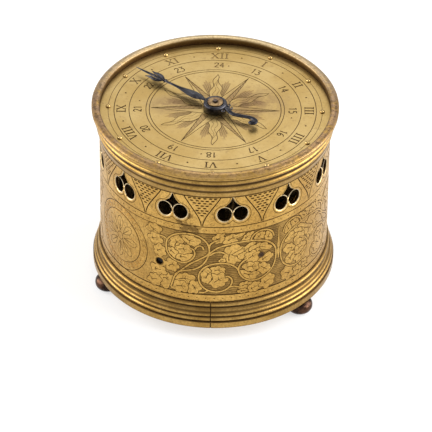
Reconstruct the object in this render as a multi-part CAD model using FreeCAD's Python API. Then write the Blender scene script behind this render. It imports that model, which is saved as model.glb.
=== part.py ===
import FreeCAD, Part
import math
import os

# A drum-shaped table clock: a pierced gilt case on three bun feet, a flat dial on top with one hour hand,
# and inside it a going train with a verge escapement, a strike train with a count wheel, and a bell.
# Millimetres and degrees. Z points up, the feet stand on z = 0, and numeral XII lies toward +Y.

# Fits and clearances
cut_overrun = 1.0
sleeve_fit = 0.05
running_fit = 0.05
seat_gap = 0.3

# Case
rim_radius = 52.0
moulding_projection = 3.25
wall_thickness = 1.6
wall_height = 73.3
base_plate_thickness = 1.6
base_plate_inset = 1.4
base_moulding_height = 12.0
top_moulding_height = 12.9
rim_rise = 3.2
rim_lip = 0.35
# Outline of a moulding from its lower edge up: share of the projection, share of the height,
# and the bow of the stretch that follows as a share of its length, outward where positive.
base_profile_shares = (
    (0.12, 0.0, 0.0),
    (0.0, 0.033, 0.0),
    (0.0, 0.258, 0.0),
    (0.23, 0.283, 0.3),
    (0.31, 0.425, 0.0),
    (0.43, 0.45, 0.3),
    (0.49, 0.583, -0.2),
    (0.71, 0.783, 0.0),
    (0.815, 0.8, 0.3),
    (0.815, 0.958, 0.0),
    (0.94, 0.975, 0.0),
    (0.94, 1.0, 0.0),
)
top_profile_shares = (
    (0.87, 0.0, 0.0),
    (0.87, 0.03, 0.0),
    (0.74, 0.2, 0.0),
    (0.79, 0.245, 0.0),
    (0.74, 0.27, 0.25),
    (0.7, 0.435, 0.0),
    (0.68, 0.46, -0.15),
    (0.46, 0.575, 0.3),
    (0.46, 0.705, 0.0),
    (0.53, 0.73, 0.0),
    (0.34, 0.752, 0.3),
    (0.25, 0.853, 0.0),
    (0.22, 0.868, 0.0),
    (0.0, 0.884, 0.0),
    (0.0, 0.946, 0.0),
)

# Feet
foot_count = 3
first_foot_angle = -38.2
foot_height = 5.5
foot_radius = 4.8
foot_neck_radius = 3.4
foot_flat_radius = 2.4
foot_inset = 3.8
foot_tenon_radius = 0.9
foot_belly_share = 0.6

# Pierced band of the wall
piercing_groups = 12
first_piercing_angle = -79.35
oval_width = 6.2
oval_height = 7.1
oval_drop = 17.4
oval_spread = 3.45
ogee_foot_rise = 0.95
ogee_haunch_rise = 3.25
ogee_haunch_reach = 1.6
ogee_corner_rise = 3.8
ogee_corner_reach = 4.0
ogee_waist_rise = 6.0
ogee_waist_reach = 1.2
ogee_tip_rise = 9.0

# Dial and touch pins
dial_thickness = 1.6
dial_fit = 0.1
touch_pin_count = 12
touch_pin_inset = 3.75
touch_pin_radius = 1.05
touch_pin_height = 0.95
touch_pin_edge = 0.25
touch_tenon_radius = 0.6

# Movement frame
under_space_share = 0.17735
plate_thickness = 2.0
plate_gap_share = 0.32742
movement_clearance = 3.15
bottom_plate_inset = 3.0
frame_pillar_inset = 3.5
frame_pillar_angles = (88.0, 145.0, 225.0, 310.0)
pillar_radius = 2.2
pillar_waist_radius = 1.6
pillar_cap_height = 3.0
tenon_radius = 1.2
pillar_tenon_rise = 2.2
pillar_pin_radius = 0.4
pillar_pin_length = 5.0
pillar_pin_rise = 0.45
dial_pillar_inset = 3.5
dial_pillar_angles = (100.0, 200.0, 295.0)
winding_hole_radius = 4.0

# Seats of the movement on the case
support_angles = (-64.3, 55.7, 175.7)
support_seat = 1.7
support_width = 6.0
support_height = 8.0
support_rivet_radius = 1.2
support_rivet_depth = 2.4
support_rivet_drop = 6.6
catch_angle = -116.1
catch_hole_radius = 1.65
catch_hole_drop = 11.6
catch_nib_radius = 1.25
catch_nib_recess = 0.85
catch_leaf_thickness = 0.6
catch_leaf_width = 5.0
catch_leaf_tail = 2.6
catch_slot_depth = 0.5
catch_slot_fit = 0.15

# Screws of the frame
screw_radius = 0.7
screw_head_radius = 1.5
screw_head_height = 0.9
screw_depth = 3.0
screw_slot_width = 0.35
screw_slot_depth = 0.4

# Gear teeth
pressure_angle = 25.0
tooth_thickness_share = 0.42
wheel_addendum_share = 0.7
pinion_addendum_share = 0.8
dedendum_share = 1.03
train_module_share = 0.0225

# Great wheels with their winding arbors
great_offset_share = 5 / 11
great_teeth = 72
great_thickness = 2.0
great_below_plate = 1.2
great_boss_radius = 2.6
great_boss_height = 0.8
arbor_radius = 1.5
arbor_collar_radius = 2.2
arbor_collar_height = 1.0
arbor_below_plate = 9.6
pipe_share = 0.648
pipe_wall = 0.55
ratchet_teeth = 24
ratchet_share = 0.463
ratchet_tooth_depth = 0.9
ratchet_thickness = 1.5
click_pivot_margin = 3.7
click_boss_radius = 1.4
click_pin_radius = 0.6
click_reach_angle = 46.0
click_gap = 0.4
click_nose_width = 1.2

# Open mainsprings
spring_lift = 1.5
spring_thickness = 0.4
spring_pitch_share = 0.0988
spring_half_turns = 14
spring_drop = 3.0
spring_post_radius = 1.2
spring_end_angle = 200.0

# Second and third arbors of both trains
second_angle = 62.0
third_angle = 8.0
pinion_leaves = 8
pinion_overlap = 0.4
second_teeth = 56
second_thickness = 1.3
second_rise = 1.2
shaft_radius = 1.1
pivot_radius = 0.7
pivot_shoulder = 0.3
crossing_arms = 4
crossing_arm_width = 1.8
crossing_rim = 1.8
crossing_hub = 2.6

# Contrate wheel and crown wheel
contrate_teeth = 36
contrate_rise = 6.9
contrate_disc = 1.2
contrate_height = 3.645
contrate_face = 1.2
crown_angle = 18.0
crown_teeth = 15
crown_radius = 5.6
crown_ring = 1.0
crown_disc = 1.0
crown_depth = 4.2
crown_tooth_depth = 2.0
crown_tooth_lean_share = 0.72
potence_margin = 1.1
potence_arm = 1.5
potence_width = 3.2
potence_flange = 1.5
crown_pinion_inset = 2.3
crown_pinion_length = 3.6
crown_pinion_margin = 1.2
crown_wheel_margin = 1.3

# Verge and balance
verge_radius = 0.9
verge_pivot_radius = 0.55
pallet_length = 2.4
pallet_width = 2.2
pallet_thickness = 0.5
pallet_angle = 55.0
pallet_gap = 0.35
verge_foot_thickness = 1.6
verge_foot_drop = 1.6
verge_post_depth = 2.4
verge_post_margin = 1.5
balance_overhang = 2.9
balance_rim = 1.6
balance_thickness = 0.8
balance_rise = 2.0
balance_hub_radius = 2.2
cock_thickness = 1.5
cock_rise = 1.1
cock_width = 3.6
cock_foot_angle = 139.0
cock_foot_margin = 2.4

# Hour wheel and its arbor
report_leaves = 12
hour_teeth = 48
hour_thickness = 1.5
hour_rise = 1.2
hour_arbor_radius = 1.2
hour_pivot_radius = 0.8
bridge_rise = 2.2
bridge_thickness = 2.0
bridge_width = 5.0
bridge_leg_margin = 3.5
bridge_leg_depth = 4.0

# Bell
bell_share = 0.75
bell_height_share = 0.17735
bell_thickness = 1.8
bell_crown_radius = 8.0
bell_bow_share = 0.16
bell_lift_share = 0.21419
bell_stand_radius = 3.2
bell_spigot_radius = 2.4
bell_stand_bore = 1.5
bell_nut_radius = 4.5
bell_nut_height = 2.5
bell_nut_sides = 6

# Strike work
lifting_pins = 18
lifting_pin_inset = 2.6
lifting_pin_radius = 0.5
lifting_pin_length = 2.4
stop_pins = 2
stop_pin_inset = 3.6
stop_pin_length = 1.0
fly_half_width = 8.0
fly_thickness = 0.6
fly_height = 11.0
fly_rise = 6.0
fly_hub_radius = 1.9
count_angle = -75.0
count_module_share = 0.03
count_leaves = 9
count_teeth = 39
count_gear_thickness = 1.2
count_disc_thickness = 1.2
count_disc_overhang = 1.8
count_notch_depth = 1.4
count_notch_width = 1.5
count_rise = 4.9
count_hours = 12
stud_radius = 1.5
stud_collar_radius = 2.4
stud_head_height = 0.8
lever_margin = 6.5
lever_angle = 215.0
lever_reach_angle = 40.0
lever_half_width = 0.9
lever_boss_radius = 2.4
lever_gap = 0.3
lever_beak = 1.4
hammer_stand_off = 4.2
hammer_bearing = 17.04
hammer_shaft_radius = 1.2
hammer_tail_width = 1.8
hammer_tail_height = 1.8
hammer_arm_angle = -72.8
hammer_hold_share = 0.775
hammer_arm_width = 2.0
hammer_arm_height = 2.0
hammer_arm_rise = 1.0
hammer_hub_radius = 2.2
hammer_head_radius = 2.6
hammer_head_gap = 1.2
hammer_head_share = 0.556
hammer_stop_radius = 0.8
hammer_stop_share = 0.5

# Hour hand
hand_angle = 143.0
hand_tip_gap = 1.8
hand_half_width = 2.6
hand_thickness = 1.0
hand_hub_radius = 5.0
hand_hub_height = 3.4
hand_hub_gap = 0.4
hand_arm_rise = 2.0
hand_tail_share = 0.5
hand_tail_half_width = 0.75
hand_curl_radius = 1.6
hand_washer_radius = 3.3
hand_washer_height = 0.4
hand_pin_radius = 0.9
hand_pin_rise = 0.5
# One side of the arm from the hub to the tip: shares of the reach and of the half width.
hand_outline_shares = (
    (0.093, 0.33),
    (0.15, 0.29),
    (0.208, 0.64),
    (0.278, 0.86),
    (0.347, 0.72),
    (0.428, 0.38),
    (0.509, 0.24),
    (0.62, 0.21),
    (0.625, 0.5),
    (0.648, 0.5),
    (0.653, 0.3),
    (0.683, 0.55),
    (0.741, 0.86),
    (0.81, 1.0),
    (0.778, 0.52),
    (0.822, 0.33),
    (1.0, 0.06),
)
# Middle line of the tail, from the hub out: shares of its reach along it and across it.
hand_tail_shares = (
    (0.2, -0.035),
    (0.29, -0.02),
    (0.39, 0.02),
    (0.49, 0.03),
    (0.62, -0.015),
    (0.76, -0.08),
    (0.86, -0.09),
    (0.925, -0.02),
)

# Heights
base_z = foot_height
base_plate_top = base_z + base_plate_thickness
wall_top = base_plate_top + wall_height
dial_top = wall_top + dial_thickness
rim_top = dial_top + rim_rise
top_moulding_z = rim_top - top_moulding_height
oval_z = wall_top - oval_drop
bottom_plate_z = base_plate_top + wall_height * under_space_share
bottom_plate_top = bottom_plate_z + plate_thickness
top_plate_z = bottom_plate_top + wall_height * plate_gap_share
top_plate_top = top_plate_z + plate_thickness
great_top = top_plate_z - great_below_plate
great_z = great_top - great_thickness
ratchet_top = great_z - seat_gap
ratchet_z = ratchet_top - ratchet_thickness
spring_top = ratchet_z - spring_drop
second_z = bottom_plate_top + second_rise
second_top = second_z + second_thickness
spring_z = second_top + spring_lift
contrate_z = bottom_plate_top + contrate_rise
hour_z = top_plate_top + hour_rise
hour_top = hour_z + hour_thickness
bridge_z = hour_top + bridge_rise
bridge_top = bridge_z + bridge_thickness
bell_crown_top = bridge_top + wall_height * bell_lift_share + bell_thickness
bell_mouth_z = bell_crown_top - wall_height * bell_height_share
count_z = top_plate_top + count_rise
count_disc_z = count_z + count_gear_thickness
count_top = count_disc_z + count_disc_thickness
balance_z = top_plate_top + balance_rise
cock_z = balance_z + balance_thickness + cock_rise
hand_hub_z = dial_top + hand_hub_gap
hand_hub_top = hand_hub_z + hand_hub_height
hand_arm_z = dial_top + hand_arm_rise
catch_z = top_plate_z - catch_hole_drop

# Radii and centres that follow from the sizes above
wall_radius = rim_radius - moulding_projection
wall_bore = wall_radius - wall_thickness
dial_radius = wall_radius - rim_lip
rim_bore = dial_radius + dial_fit
base_plate_radius = rim_radius - base_plate_inset
foot_circle_radius = rim_radius - foot_inset
touch_pin_circle = wall_radius - touch_pin_inset
hand_reach = touch_pin_circle - hand_tip_gap
hand_tail_reach = hand_reach * hand_tail_share
top_plate_radius = wall_bore - movement_clearance
bottom_plate_radius = top_plate_radius - bottom_plate_inset
frame_pillar_circle = bottom_plate_radius - frame_pillar_inset
dial_pillar_circle = top_plate_radius - dial_pillar_inset
bell_radius = top_plate_radius * bell_share
great_offset = top_plate_radius * great_offset_share
train_module = great_offset * train_module_share
count_module = great_offset * count_module_share
count_leaf_pitch = count_leaves * count_module / 2
pipe_radius = count_leaf_pitch * pipe_share
arbor_top_radius = pipe_radius - pipe_wall
great_pitch = great_teeth * train_module / 2
pinion_pitch = pinion_leaves * train_module / 2
second_pitch = second_teeth * train_module / 2
second_distance = great_pitch + pinion_pitch
third_distance = second_pitch + pinion_pitch
ratchet_radius = great_pitch * ratchet_share
click_pivot_radius = ratchet_radius + click_pivot_margin
lifting_pin_circle = great_pitch - lifting_pin_inset
stop_pin_circle = second_pitch - stop_pin_inset
spring_pitch = great_pitch * spring_pitch_share
contrate_pitch = contrate_teeth * train_module / 2
crown_z = contrate_z + contrate_height - wheel_addendum_share * train_module + pinion_pitch
crown_pinion_start = contrate_pitch - crown_pinion_inset
crown_pinion_end = crown_pinion_start + crown_pinion_length
potence_start = crown_pinion_start - potence_margin - potence_arm
far_potence_start = crown_pinion_end + crown_pinion_margin
crown_wheel_start = far_potence_start + potence_arm + crown_wheel_margin
crown_tip = crown_wheel_start + crown_depth
verge_offset = crown_tip + pallet_gap + pallet_length
balance_radius = contrate_pitch + balance_overhang
cock_foot_distance = balance_radius + cock_foot_margin
report_module = 2 * great_offset / (report_leaves + hour_teeth)
hour_pitch = hour_teeth * report_module / 2
bridge_leg_offset = hour_pitch + bridge_leg_margin
count_pitch = count_teeth * count_module / 2
count_distance = count_leaf_pitch + count_pitch
count_disc_radius = count_pitch + count_disc_overhang
lever_distance = count_disc_radius + lever_margin
hammer_head_face = bell_radius + hammer_head_gap
hammer_head_length = (wall_bore - hammer_head_face) * hammer_head_share
hammer_hold_radius = hammer_head_face + hammer_head_length * hammer_hold_share

Vector = FreeCAD.Vector
ORIGIN = Vector(0, 0, 0)
UP = Vector(0, 0, 1)
FULL_TURN = 360.0
HALF_TURN = FULL_TURN / 2


# Helpers

def polar(radius, degrees, z=0, centre=ORIGIN):
    """The point at a radius and an angle from a vertical axis through centre."""
    turn = math.radians(degrees)
    return Vector(centre.x + radius * math.cos(turn), centre.y + radius * math.sin(turn), z)


def disc(radius, z_low, z_high, at=ORIGIN):
    """An upright cylinder."""
    return Part.makeCylinder(radius, z_high - z_low, Vector(at.x, at.y, z_low), UP)


def ring(outer, inner, z_low, z_high, at=ORIGIN):
    """An upright tube."""
    return disc(outer, z_low, z_high, at).cut(disc(inner, z_low - cut_overrun, z_high + cut_overrun, at))


def hole(radius, z_low, z_high, at=ORIGIN):
    """A cutter through the stretch from z_low to z_high."""
    return disc(radius, z_low - cut_overrun, z_high + cut_overrun, at)


def block(x_low, x_high, half_width, z_low, z_high):
    """A box along X, centred on it."""
    return Part.makeBox(x_high - x_low, 2 * half_width, z_high - z_low, Vector(x_low, -half_width, z_low))


def placed(shape, degrees, at=ORIGIN):
    """A copy of a shape, turned about the Z axis and then moved in plan."""
    copy = shape.copy()
    copy.rotate(ORIGIN, UP, degrees)
    copy.translate(Vector(at.x, at.y, 0))
    return copy


def face_of(points):
    """A flat face inside a closed run of points."""
    return Part.Face(Part.makePolygon(points + points[:1]))


def prism(points, z_low, z_high):
    """An upright prism over a closed run of points in plan."""
    flat = [Vector(point.x, point.y, z_low) for point in points]
    return face_of(flat).extrude(Vector(0, 0, z_high - z_low))


def fused(shapes):
    """One solid made of shapes that touch or overlap."""
    return shapes[0].fuse(list(shapes[1:])).removeSplitter()


def cut_all(shape, cutters):
    """A shape less all of the cutters."""
    return shape.cut(Part.makeCompound(list(cutters)))


def bowed(start, end, bow_share):
    """The edge from start to end in the XZ plane, a line or an arc that bows outward from the axis."""
    if bow_share == 0:
        return Part.makeLine(start, end)
    along = end - start
    middle = start + along / 2 + Vector(along.z, 0, -along.x) * bow_share
    return Part.Arc(start, middle, end).toShape()


def turned(edges):
    """A solid of revolution about Z from the edges of a closed outline in the XZ plane."""
    return Part.Face(Part.Wire(edges)).revolve(ORIGIN, UP, FULL_TURN)


def turned_points(points, bows=()):
    """A solid of revolution about Z from radius and height pairs, with bows by the stretch's number."""
    corners = [Vector(radius, 0, z) for radius, z in points]
    ends = corners[1:] + corners[:1]
    shares = dict(bows)
    return turned([bowed(a, b, shares.get(k, 0)) for k, (a, b) in enumerate(zip(corners, ends))])


def moulding(profile_shares, z_low, height, inner_outline):
    """A turned moulding ring whose outside follows the profile and whose inside follows inner_outline."""
    outer = []
    for inward, up, bow in profile_shares:
        outer.append((rim_radius - inward * moulding_projection, z_low + up * height))
    bows = [(k, bow) for k, (inward, up, bow) in enumerate(profile_shares) if bow]
    return turned_points(outer + inner_outline, bows)


# Gears

def involute(angle):
    """The involute function of an angle in radians."""
    return math.tan(angle) - angle


def gear_points(teeth, module, addendum_share, tooth_at, centre=ORIGIN):
    """The plan outline of a spur gear with one tooth centred on the angle tooth_at."""
    pitch = teeth * module / 2
    pressure = math.radians(pressure_angle)
    base = pitch * math.cos(pressure)
    root = pitch - dedendum_share * module
    tip = pitch + addendum_share * module
    foot = max(base, root)
    half_pitch_angle = tooth_thickness_share * math.pi / teeth
    flank = []
    for radius in (foot, pitch, tip):
        spread = half_pitch_angle + involute(pressure) - involute(math.acos(base / radius))
        flank.append((radius, math.degrees(spread)))
    if root < base:
        flank.insert(0, (root, flank[0][1]))
    points = []
    for tooth in range(teeth):
        middle = tooth_at + tooth * FULL_TURN / teeth
        points += [polar(radius, middle - spread, 0, centre) for radius, spread in flank]
        points += [polar(radius, middle + spread, 0, centre) for radius, spread in reversed(flank)]
    return points


def wheel(teeth, module, tooth_at, z_low, z_high, bore, centre=ORIGIN):
    """A toothed wheel with a bore."""
    blank = prism(gear_points(teeth, module, wheel_addendum_share, tooth_at, centre), z_low, z_high)
    return blank.cut(hole(bore, z_low, z_high, centre))


def pinion(leaves, module, drive_angle, z_low, z_high, centre=ORIGIN):
    """A pinion whose leaves stand clear of a tooth that lies on the line from its centre at drive_angle."""
    tooth_at = drive_angle + HALF_TURN / leaves
    return prism(gear_points(leaves, module, pinion_addendum_share, tooth_at, centre), z_low, z_high)


def crossings(outer, z_low, z_high, centre, first_arm=0):
    """Cutters for the windows between the arms of a crossed-out wheel."""
    windows = ring(outer, crossing_hub, z_low - cut_overrun, z_high + cut_overrun)
    for arm in range(crossing_arms):
        bar = block(0, outer + cut_overrun, crossing_arm_width / 2, z_low - cut_overrun, z_high + cut_overrun)
        windows = windows.cut(placed(bar, arm * FULL_TURN / crossing_arms))
    return placed(windows, first_arm, centre)


def pivoted_shaft(at, z_low, z_high, plate_low, plate_high):
    """A shaft between two shoulders with a thinner pivot in the plate at each end."""
    body = disc(shaft_radius, z_low, z_high, at)
    lower = disc(pivot_radius, plate_low, z_low, at)
    upper = disc(pivot_radius, z_high, plate_high, at)
    return fused([body, lower, upper])


def screw(at, seat_z, downward):
    """A slotted screw whose head lies on a plate face and whose shank runs through the plate into a piece."""
    length = plate_thickness + screw_depth
    shank = disc(screw_radius, 0, length)
    head = disc(screw_head_radius, -screw_head_height, 0)
    slot = block(
        -screw_head_radius - cut_overrun,
        screw_head_radius + cut_overrun,
        screw_slot_width / 2,
        -screw_head_height - cut_overrun,
        screw_slot_depth - screw_head_height,
    )
    made = fused([shank, head.cut(slot)])
    if downward:
        made.rotate(ORIGIN, Vector(1, 0, 0), HALF_TURN)
    made.translate(Vector(at.x, at.y, seat_z))
    return made


# Centres of both trains in plan
great_at = polar(great_offset, HALF_TURN)
second_at = polar(second_distance, second_angle, 0, great_at)
third_at = polar(third_distance, third_angle, 0, second_at)
verge_at = polar(verge_offset, crown_angle, 0, third_at)
strike_at = polar(great_offset, 0)
count_at = polar(count_distance, count_angle, 0, strike_at)
lever_at = polar(lever_distance, lever_angle, 0, count_at)
hammer_at = polar(bell_radius + hammer_stand_off, hammer_bearing)
hammer_side = hammer_at - strike_at
hammer_distance = hammer_side.Length
hammer_angle = math.degrees(math.atan2(hammer_side.y, hammer_side.x))
hammer_along = hammer_at.dot(polar(1, hammer_arm_angle))
hammer_across_square = hammer_at.dot(hammer_at) - hammer_along ** 2
hammer_arm_length = math.sqrt(hammer_hold_radius ** 2 - hammer_across_square) - hammer_along
cock_at = polar(cock_foot_distance, cock_foot_angle, 0, verge_at)
crown_screw_at = polar((crown_pinion_start + crown_pinion_end) / 2, crown_angle, 0, third_at)
verge_post_near = verge_offset + verge_radius + verge_post_margin
verge_post_far = verge_post_near + verge_post_depth
verge_screw_at = polar((verge_post_near + verge_post_far) / 2, crown_angle, 0, third_at)
bridge_legs = [polar(bridge_leg_offset, FULL_TURN / 4), polar(bridge_leg_offset, -FULL_TURN / 4)]
hammer_stop_offset = hammer_arm_width / 2 + lever_gap + hammer_stop_radius
hammer_stop_at = polar(
    hammer_stop_offset,
    hammer_arm_angle - FULL_TURN / 4,
    0,
    polar(hammer_arm_length * hammer_stop_share, hammer_arm_angle, 0, hammer_at),
)
spring_start_radius = arbor_radius + running_fit + spring_thickness / 2 + spring_pitch / 4
spring_end_radius = spring_start_radius + spring_pitch * (spring_half_turns - 1) / 2
spring_reach = spring_end_radius + spring_pitch / 4 + spring_thickness / 2
spring_post_offset = spring_reach + running_fit + spring_post_radius
spring_post_at = polar(spring_post_offset, spring_end_angle, 0, great_at)
frame_pillar_places = [polar(frame_pillar_circle, angle) for angle in frame_pillar_angles]
dial_pillar_places = [polar(dial_pillar_circle, angle) for angle in dial_pillar_angles]


def mirrored(at):
    """The same place in the strike train, half a turn round from the going train."""
    return Vector(-at.x, -at.y, at.z)


# Case pieces

def oval_cutter():
    """The outline of one oval hole, pushed through the wall along X."""
    tall = oval_height / 2
    wide = oval_width / 2
    outline = Part.Ellipse(Vector(0, 0, tall), Vector(0, wide, 0), ORIGIN).toShape()
    face = Part.Face(Part.Wire(outline))
    face.translate(Vector(wall_bore - cut_overrun, 0, oval_z))
    return face.extrude(Vector(wall_thickness + 2 * cut_overrun, 0, 0))


def ogee_cutter():
    """The pointed hole above each pair of ovals, whose lower edges follow the ovals, pushed along X."""
    near = wall_bore - cut_overrun
    foot = Vector(near, 0, oval_z + ogee_foot_rise)
    tip = Vector(near, 0, oval_z + ogee_tip_rise)
    edges = []
    for side in (-1, 1):
        haunch = Vector(near, side * ogee_haunch_reach, oval_z + ogee_haunch_rise)
        corner = Vector(near, side * ogee_corner_reach, oval_z + ogee_corner_rise)
        waist = Vector(near, side * ogee_waist_reach, oval_z + ogee_waist_rise)
        edges.append(Part.Arc(foot, haunch, corner).toShape())
        edges.append(Part.Arc(corner, waist, tip).toShape())
    outline = Part.Wire(Part.__sortEdges__(edges))
    return Part.Face(outline).extrude(Vector(wall_thickness + 2 * cut_overrun, 0, 0))


def radial_pin(radius, r_low, r_high, z, degrees):
    """A cylinder that lies along a radius of the drum."""
    pin = Part.makeCylinder(radius, r_high - r_low, Vector(r_low, 0, z), Vector(1, 0, 0))
    return placed(pin, degrees)


def make_drum_wall():
    """The pierced wall of the drum, with the holes for the catch and for the rivets of the seats."""
    wall = ring(wall_radius, wall_bore, base_plate_top, wall_top)
    turn = math.degrees(oval_spread / wall_radius)
    oval = oval_cutter()
    ogee = ogee_cutter()
    cutters = []
    for group in range(piercing_groups):
        angle = first_piercing_angle + group * FULL_TURN / piercing_groups
        cutters += [placed(oval, angle - turn), placed(oval, angle + turn), placed(ogee, angle)]
    low = wall_bore - cut_overrun
    high = wall_radius + cut_overrun
    cutters.append(radial_pin(catch_hole_radius, low, high, catch_z, catch_angle))
    for angle in support_angles:
        cutters.append(radial_pin(support_rivet_radius, low, high, top_plate_z - support_rivet_drop, angle))
    return cut_all(wall, cutters)


def make_top_moulding():
    """The upper moulding, a cap ring over the wall whose lip surrounds the dial."""
    sleeve = wall_radius + sleeve_fit
    inner = [(rim_bore, rim_top), (rim_bore, wall_top), (sleeve, wall_top), (sleeve, top_moulding_z)]
    return moulding(top_profile_shares, top_moulding_z, top_moulding_height, inner)


def make_base_moulding():
    """The lower moulding, rebated underneath for the base plate."""
    sleeve = wall_radius + sleeve_fit
    rebate = base_plate_radius + sleeve_fit
    high = base_z + base_moulding_height
    inner = [(sleeve, high), (sleeve, base_plate_top), (rebate, base_plate_top), (rebate, base_z)]
    return moulding(base_profile_shares, base_z, base_moulding_height, inner)


def foot_places():
    """The centres of the feet."""
    step = FULL_TURN / foot_count
    return [polar(foot_circle_radius, first_foot_angle + k * step) for k in range(foot_count)]


def make_base_plate():
    """The plate that closes the drum from below, with the two winding holes."""
    plate = disc(base_plate_radius, base_z, base_plate_top)
    cutters = [hole(foot_tenon_radius, base_z, base_plate_top, at) for at in foot_places()]
    cutters += [hole(winding_hole_radius, base_z, base_plate_top, at) for at in (great_at, strike_at)]
    return cut_all(plate, cutters)


def make_foot(at):
    """One turned bun foot with a flat to stand on and a tenon riveted in the base plate."""
    belly_z = foot_height * foot_belly_share
    outline = [
        Part.makeLine(Vector(0, 0, 0), Vector(foot_flat_radius, 0, 0)),
        bowed(Vector(foot_flat_radius, 0, 0), Vector(foot_radius, 0, belly_z), foot_belly_share / 4),
        bowed(Vector(foot_radius, 0, belly_z), Vector(foot_neck_radius, 0, base_z), foot_belly_share / 4),
        Part.makeLine(Vector(foot_neck_radius, 0, base_z), Vector(foot_tenon_radius, 0, base_z)),
        Part.makeLine(Vector(foot_tenon_radius, 0, base_z), Vector(foot_tenon_radius, 0, base_plate_top)),
        Part.makeLine(Vector(foot_tenon_radius, 0, base_plate_top), Vector(0, 0, base_plate_top)),
        Part.makeLine(Vector(0, 0, base_plate_top), Vector(0, 0, 0)),
    ]
    return placed(turned(outline), 0, at)


def make_support_blocks():
    """The three seats riveted inside the wall, on which the movement's top plate rests."""
    inside = disc(wall_bore, top_plate_z - support_height, top_plate_z)
    blocks = []
    for angle in support_angles:
        low = top_plate_z - support_height
        bar = block(top_plate_radius - support_seat, wall_radius, support_width / 2, low, top_plate_z)
        rivet_hole = radial_pin(
            support_rivet_radius,
            wall_bore - support_rivet_depth,
            wall_radius,
            top_plate_z - support_rivet_drop,
            angle,
        )
        blocks.append(placed(bar, angle).common(inside).cut(rivet_hole))
    return Part.makeCompound(blocks)


def make_support_rivets():
    """The rivets of the seats, dressed flush with the outside of the wall."""
    drum = disc(wall_radius, base_plate_top, wall_top)
    rivets = []
    for angle in support_angles:
        z = top_plate_z - support_rivet_drop
        pin = radial_pin(support_rivet_radius, wall_bore - support_rivet_depth, rim_radius, z, angle)
        rivets.append(pin.common(drum))
    return Part.makeCompound(rivets)


# Dial pieces

def touch_pin_places():
    """The centres of the touch pins, one at each hour."""
    return [polar(touch_pin_circle, k * FULL_TURN / touch_pin_count) for k in range(touch_pin_count)]


def make_dial_plate():
    """The dial, which lies on the top of the wall inside the upper moulding."""
    plate = disc(dial_radius, wall_top, dial_top)
    cutters = [hole(touch_tenon_radius, wall_top, dial_top, at) for at in touch_pin_places()]
    cutters.append(hole(hour_arbor_radius + seat_gap, wall_top, dial_top))
    return cut_all(plate, cutters)


def make_touch_pins():
    """The domed touch pins with their tenons through the dial."""
    edge_z = dial_top + touch_pin_edge
    tip_z = dial_top + touch_pin_height
    dome_share = math.tan(math.atan2(tip_z - edge_z, touch_pin_radius) / 2) / 2
    outline = [
        Part.makeLine(Vector(0, 0, wall_top), Vector(touch_tenon_radius, 0, wall_top)),
        Part.makeLine(Vector(touch_tenon_radius, 0, wall_top), Vector(touch_tenon_radius, 0, dial_top)),
        Part.makeLine(Vector(touch_tenon_radius, 0, dial_top), Vector(touch_pin_radius, 0, dial_top)),
        Part.makeLine(Vector(touch_pin_radius, 0, dial_top), Vector(touch_pin_radius, 0, edge_z)),
        bowed(Vector(touch_pin_radius, 0, edge_z), Vector(0, 0, tip_z), dome_share),
        Part.makeLine(Vector(0, 0, tip_z), Vector(0, 0, wall_top)),
    ]
    pin = turned(outline)
    return Part.makeCompound([placed(pin, 0, at) for at in touch_pin_places()])


def make_dial_pillars():
    """The pillars soldered under the dial, with tenons in the top plate."""
    body = disc(pillar_waist_radius, top_plate_top, wall_top)
    pillar = fused([body, disc(tenon_radius, top_plate_z, top_plate_top)])
    return Part.makeCompound([placed(pillar, 0, at) for at in dial_pillar_places])


def make_hour_hand():
    """The hour hand: a thick hub, a leaf, a collared tulip and a needle, and a curved tail."""
    hub = disc(hand_hub_radius, hand_hub_z, hand_hub_top)
    one_side = [Vector(x * hand_reach, y * hand_half_width, 0) for x, y in hand_outline_shares]
    other_side = [Vector(point.x, -point.y, 0) for point in reversed(one_side)]
    arm = prism(one_side + other_side, hand_arm_z, hand_arm_z + hand_thickness)
    line = [Vector(-x * hand_tail_reach, y * hand_tail_reach, 0) for x, y in hand_tail_shares]
    left = []
    right = []
    for k, point in enumerate(line):
        along = line[min(k + 1, len(line) - 1)] - line[max(k - 1, 0)]
        across = Vector(-along.y, along.x, 0) * (hand_tail_half_width / along.Length)
        left.append(point + across)
        right.append(point - across)
    tail = prism(left + right[::-1], hand_arm_z, hand_arm_z + hand_thickness)
    curl = disc(hand_curl_radius, hand_arm_z, hand_arm_z + hand_thickness, line[-1])
    bore = hole(hour_arbor_radius + running_fit, hand_hub_z, hand_hub_top)
    return placed(fused([hub, arm, tail, curl]).cut(bore), hand_angle)


def make_hand_washer():
    """The brass washer on the hub of the hand."""
    bore = hand_pin_radius + running_fit
    return ring(hand_washer_radius, bore, hand_hub_top, hand_hub_top + hand_washer_height)


# Movement frame

def make_frame_pillars():
    """The pillars between the plates, riveted below and pinned above."""
    low = bottom_plate_top
    cap_low = low + pillar_cap_height
    cap_high = top_plate_z - pillar_cap_height
    tenon_top = top_plate_top + pillar_tenon_rise
    pin_z = top_plate_top + pillar_pin_rise + pillar_pin_radius
    pillar = fused([
        disc(tenon_radius, bottom_plate_z, low),
        disc(pillar_radius, low, cap_low),
        disc(pillar_waist_radius, cap_low, cap_high),
        disc(pillar_radius, cap_high, top_plate_z),
        disc(tenon_radius, top_plate_z, tenon_top),
    ])
    start = Vector(-pillar_radius, 0, pin_z)
    drilled = pillar.cut(Part.makeCylinder(pillar_pin_radius, pillar_radius * 2, start, Vector(1, 0, 0)))
    return Part.makeCompound([placed(drilled, 0, at) for at in frame_pillar_places])


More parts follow.
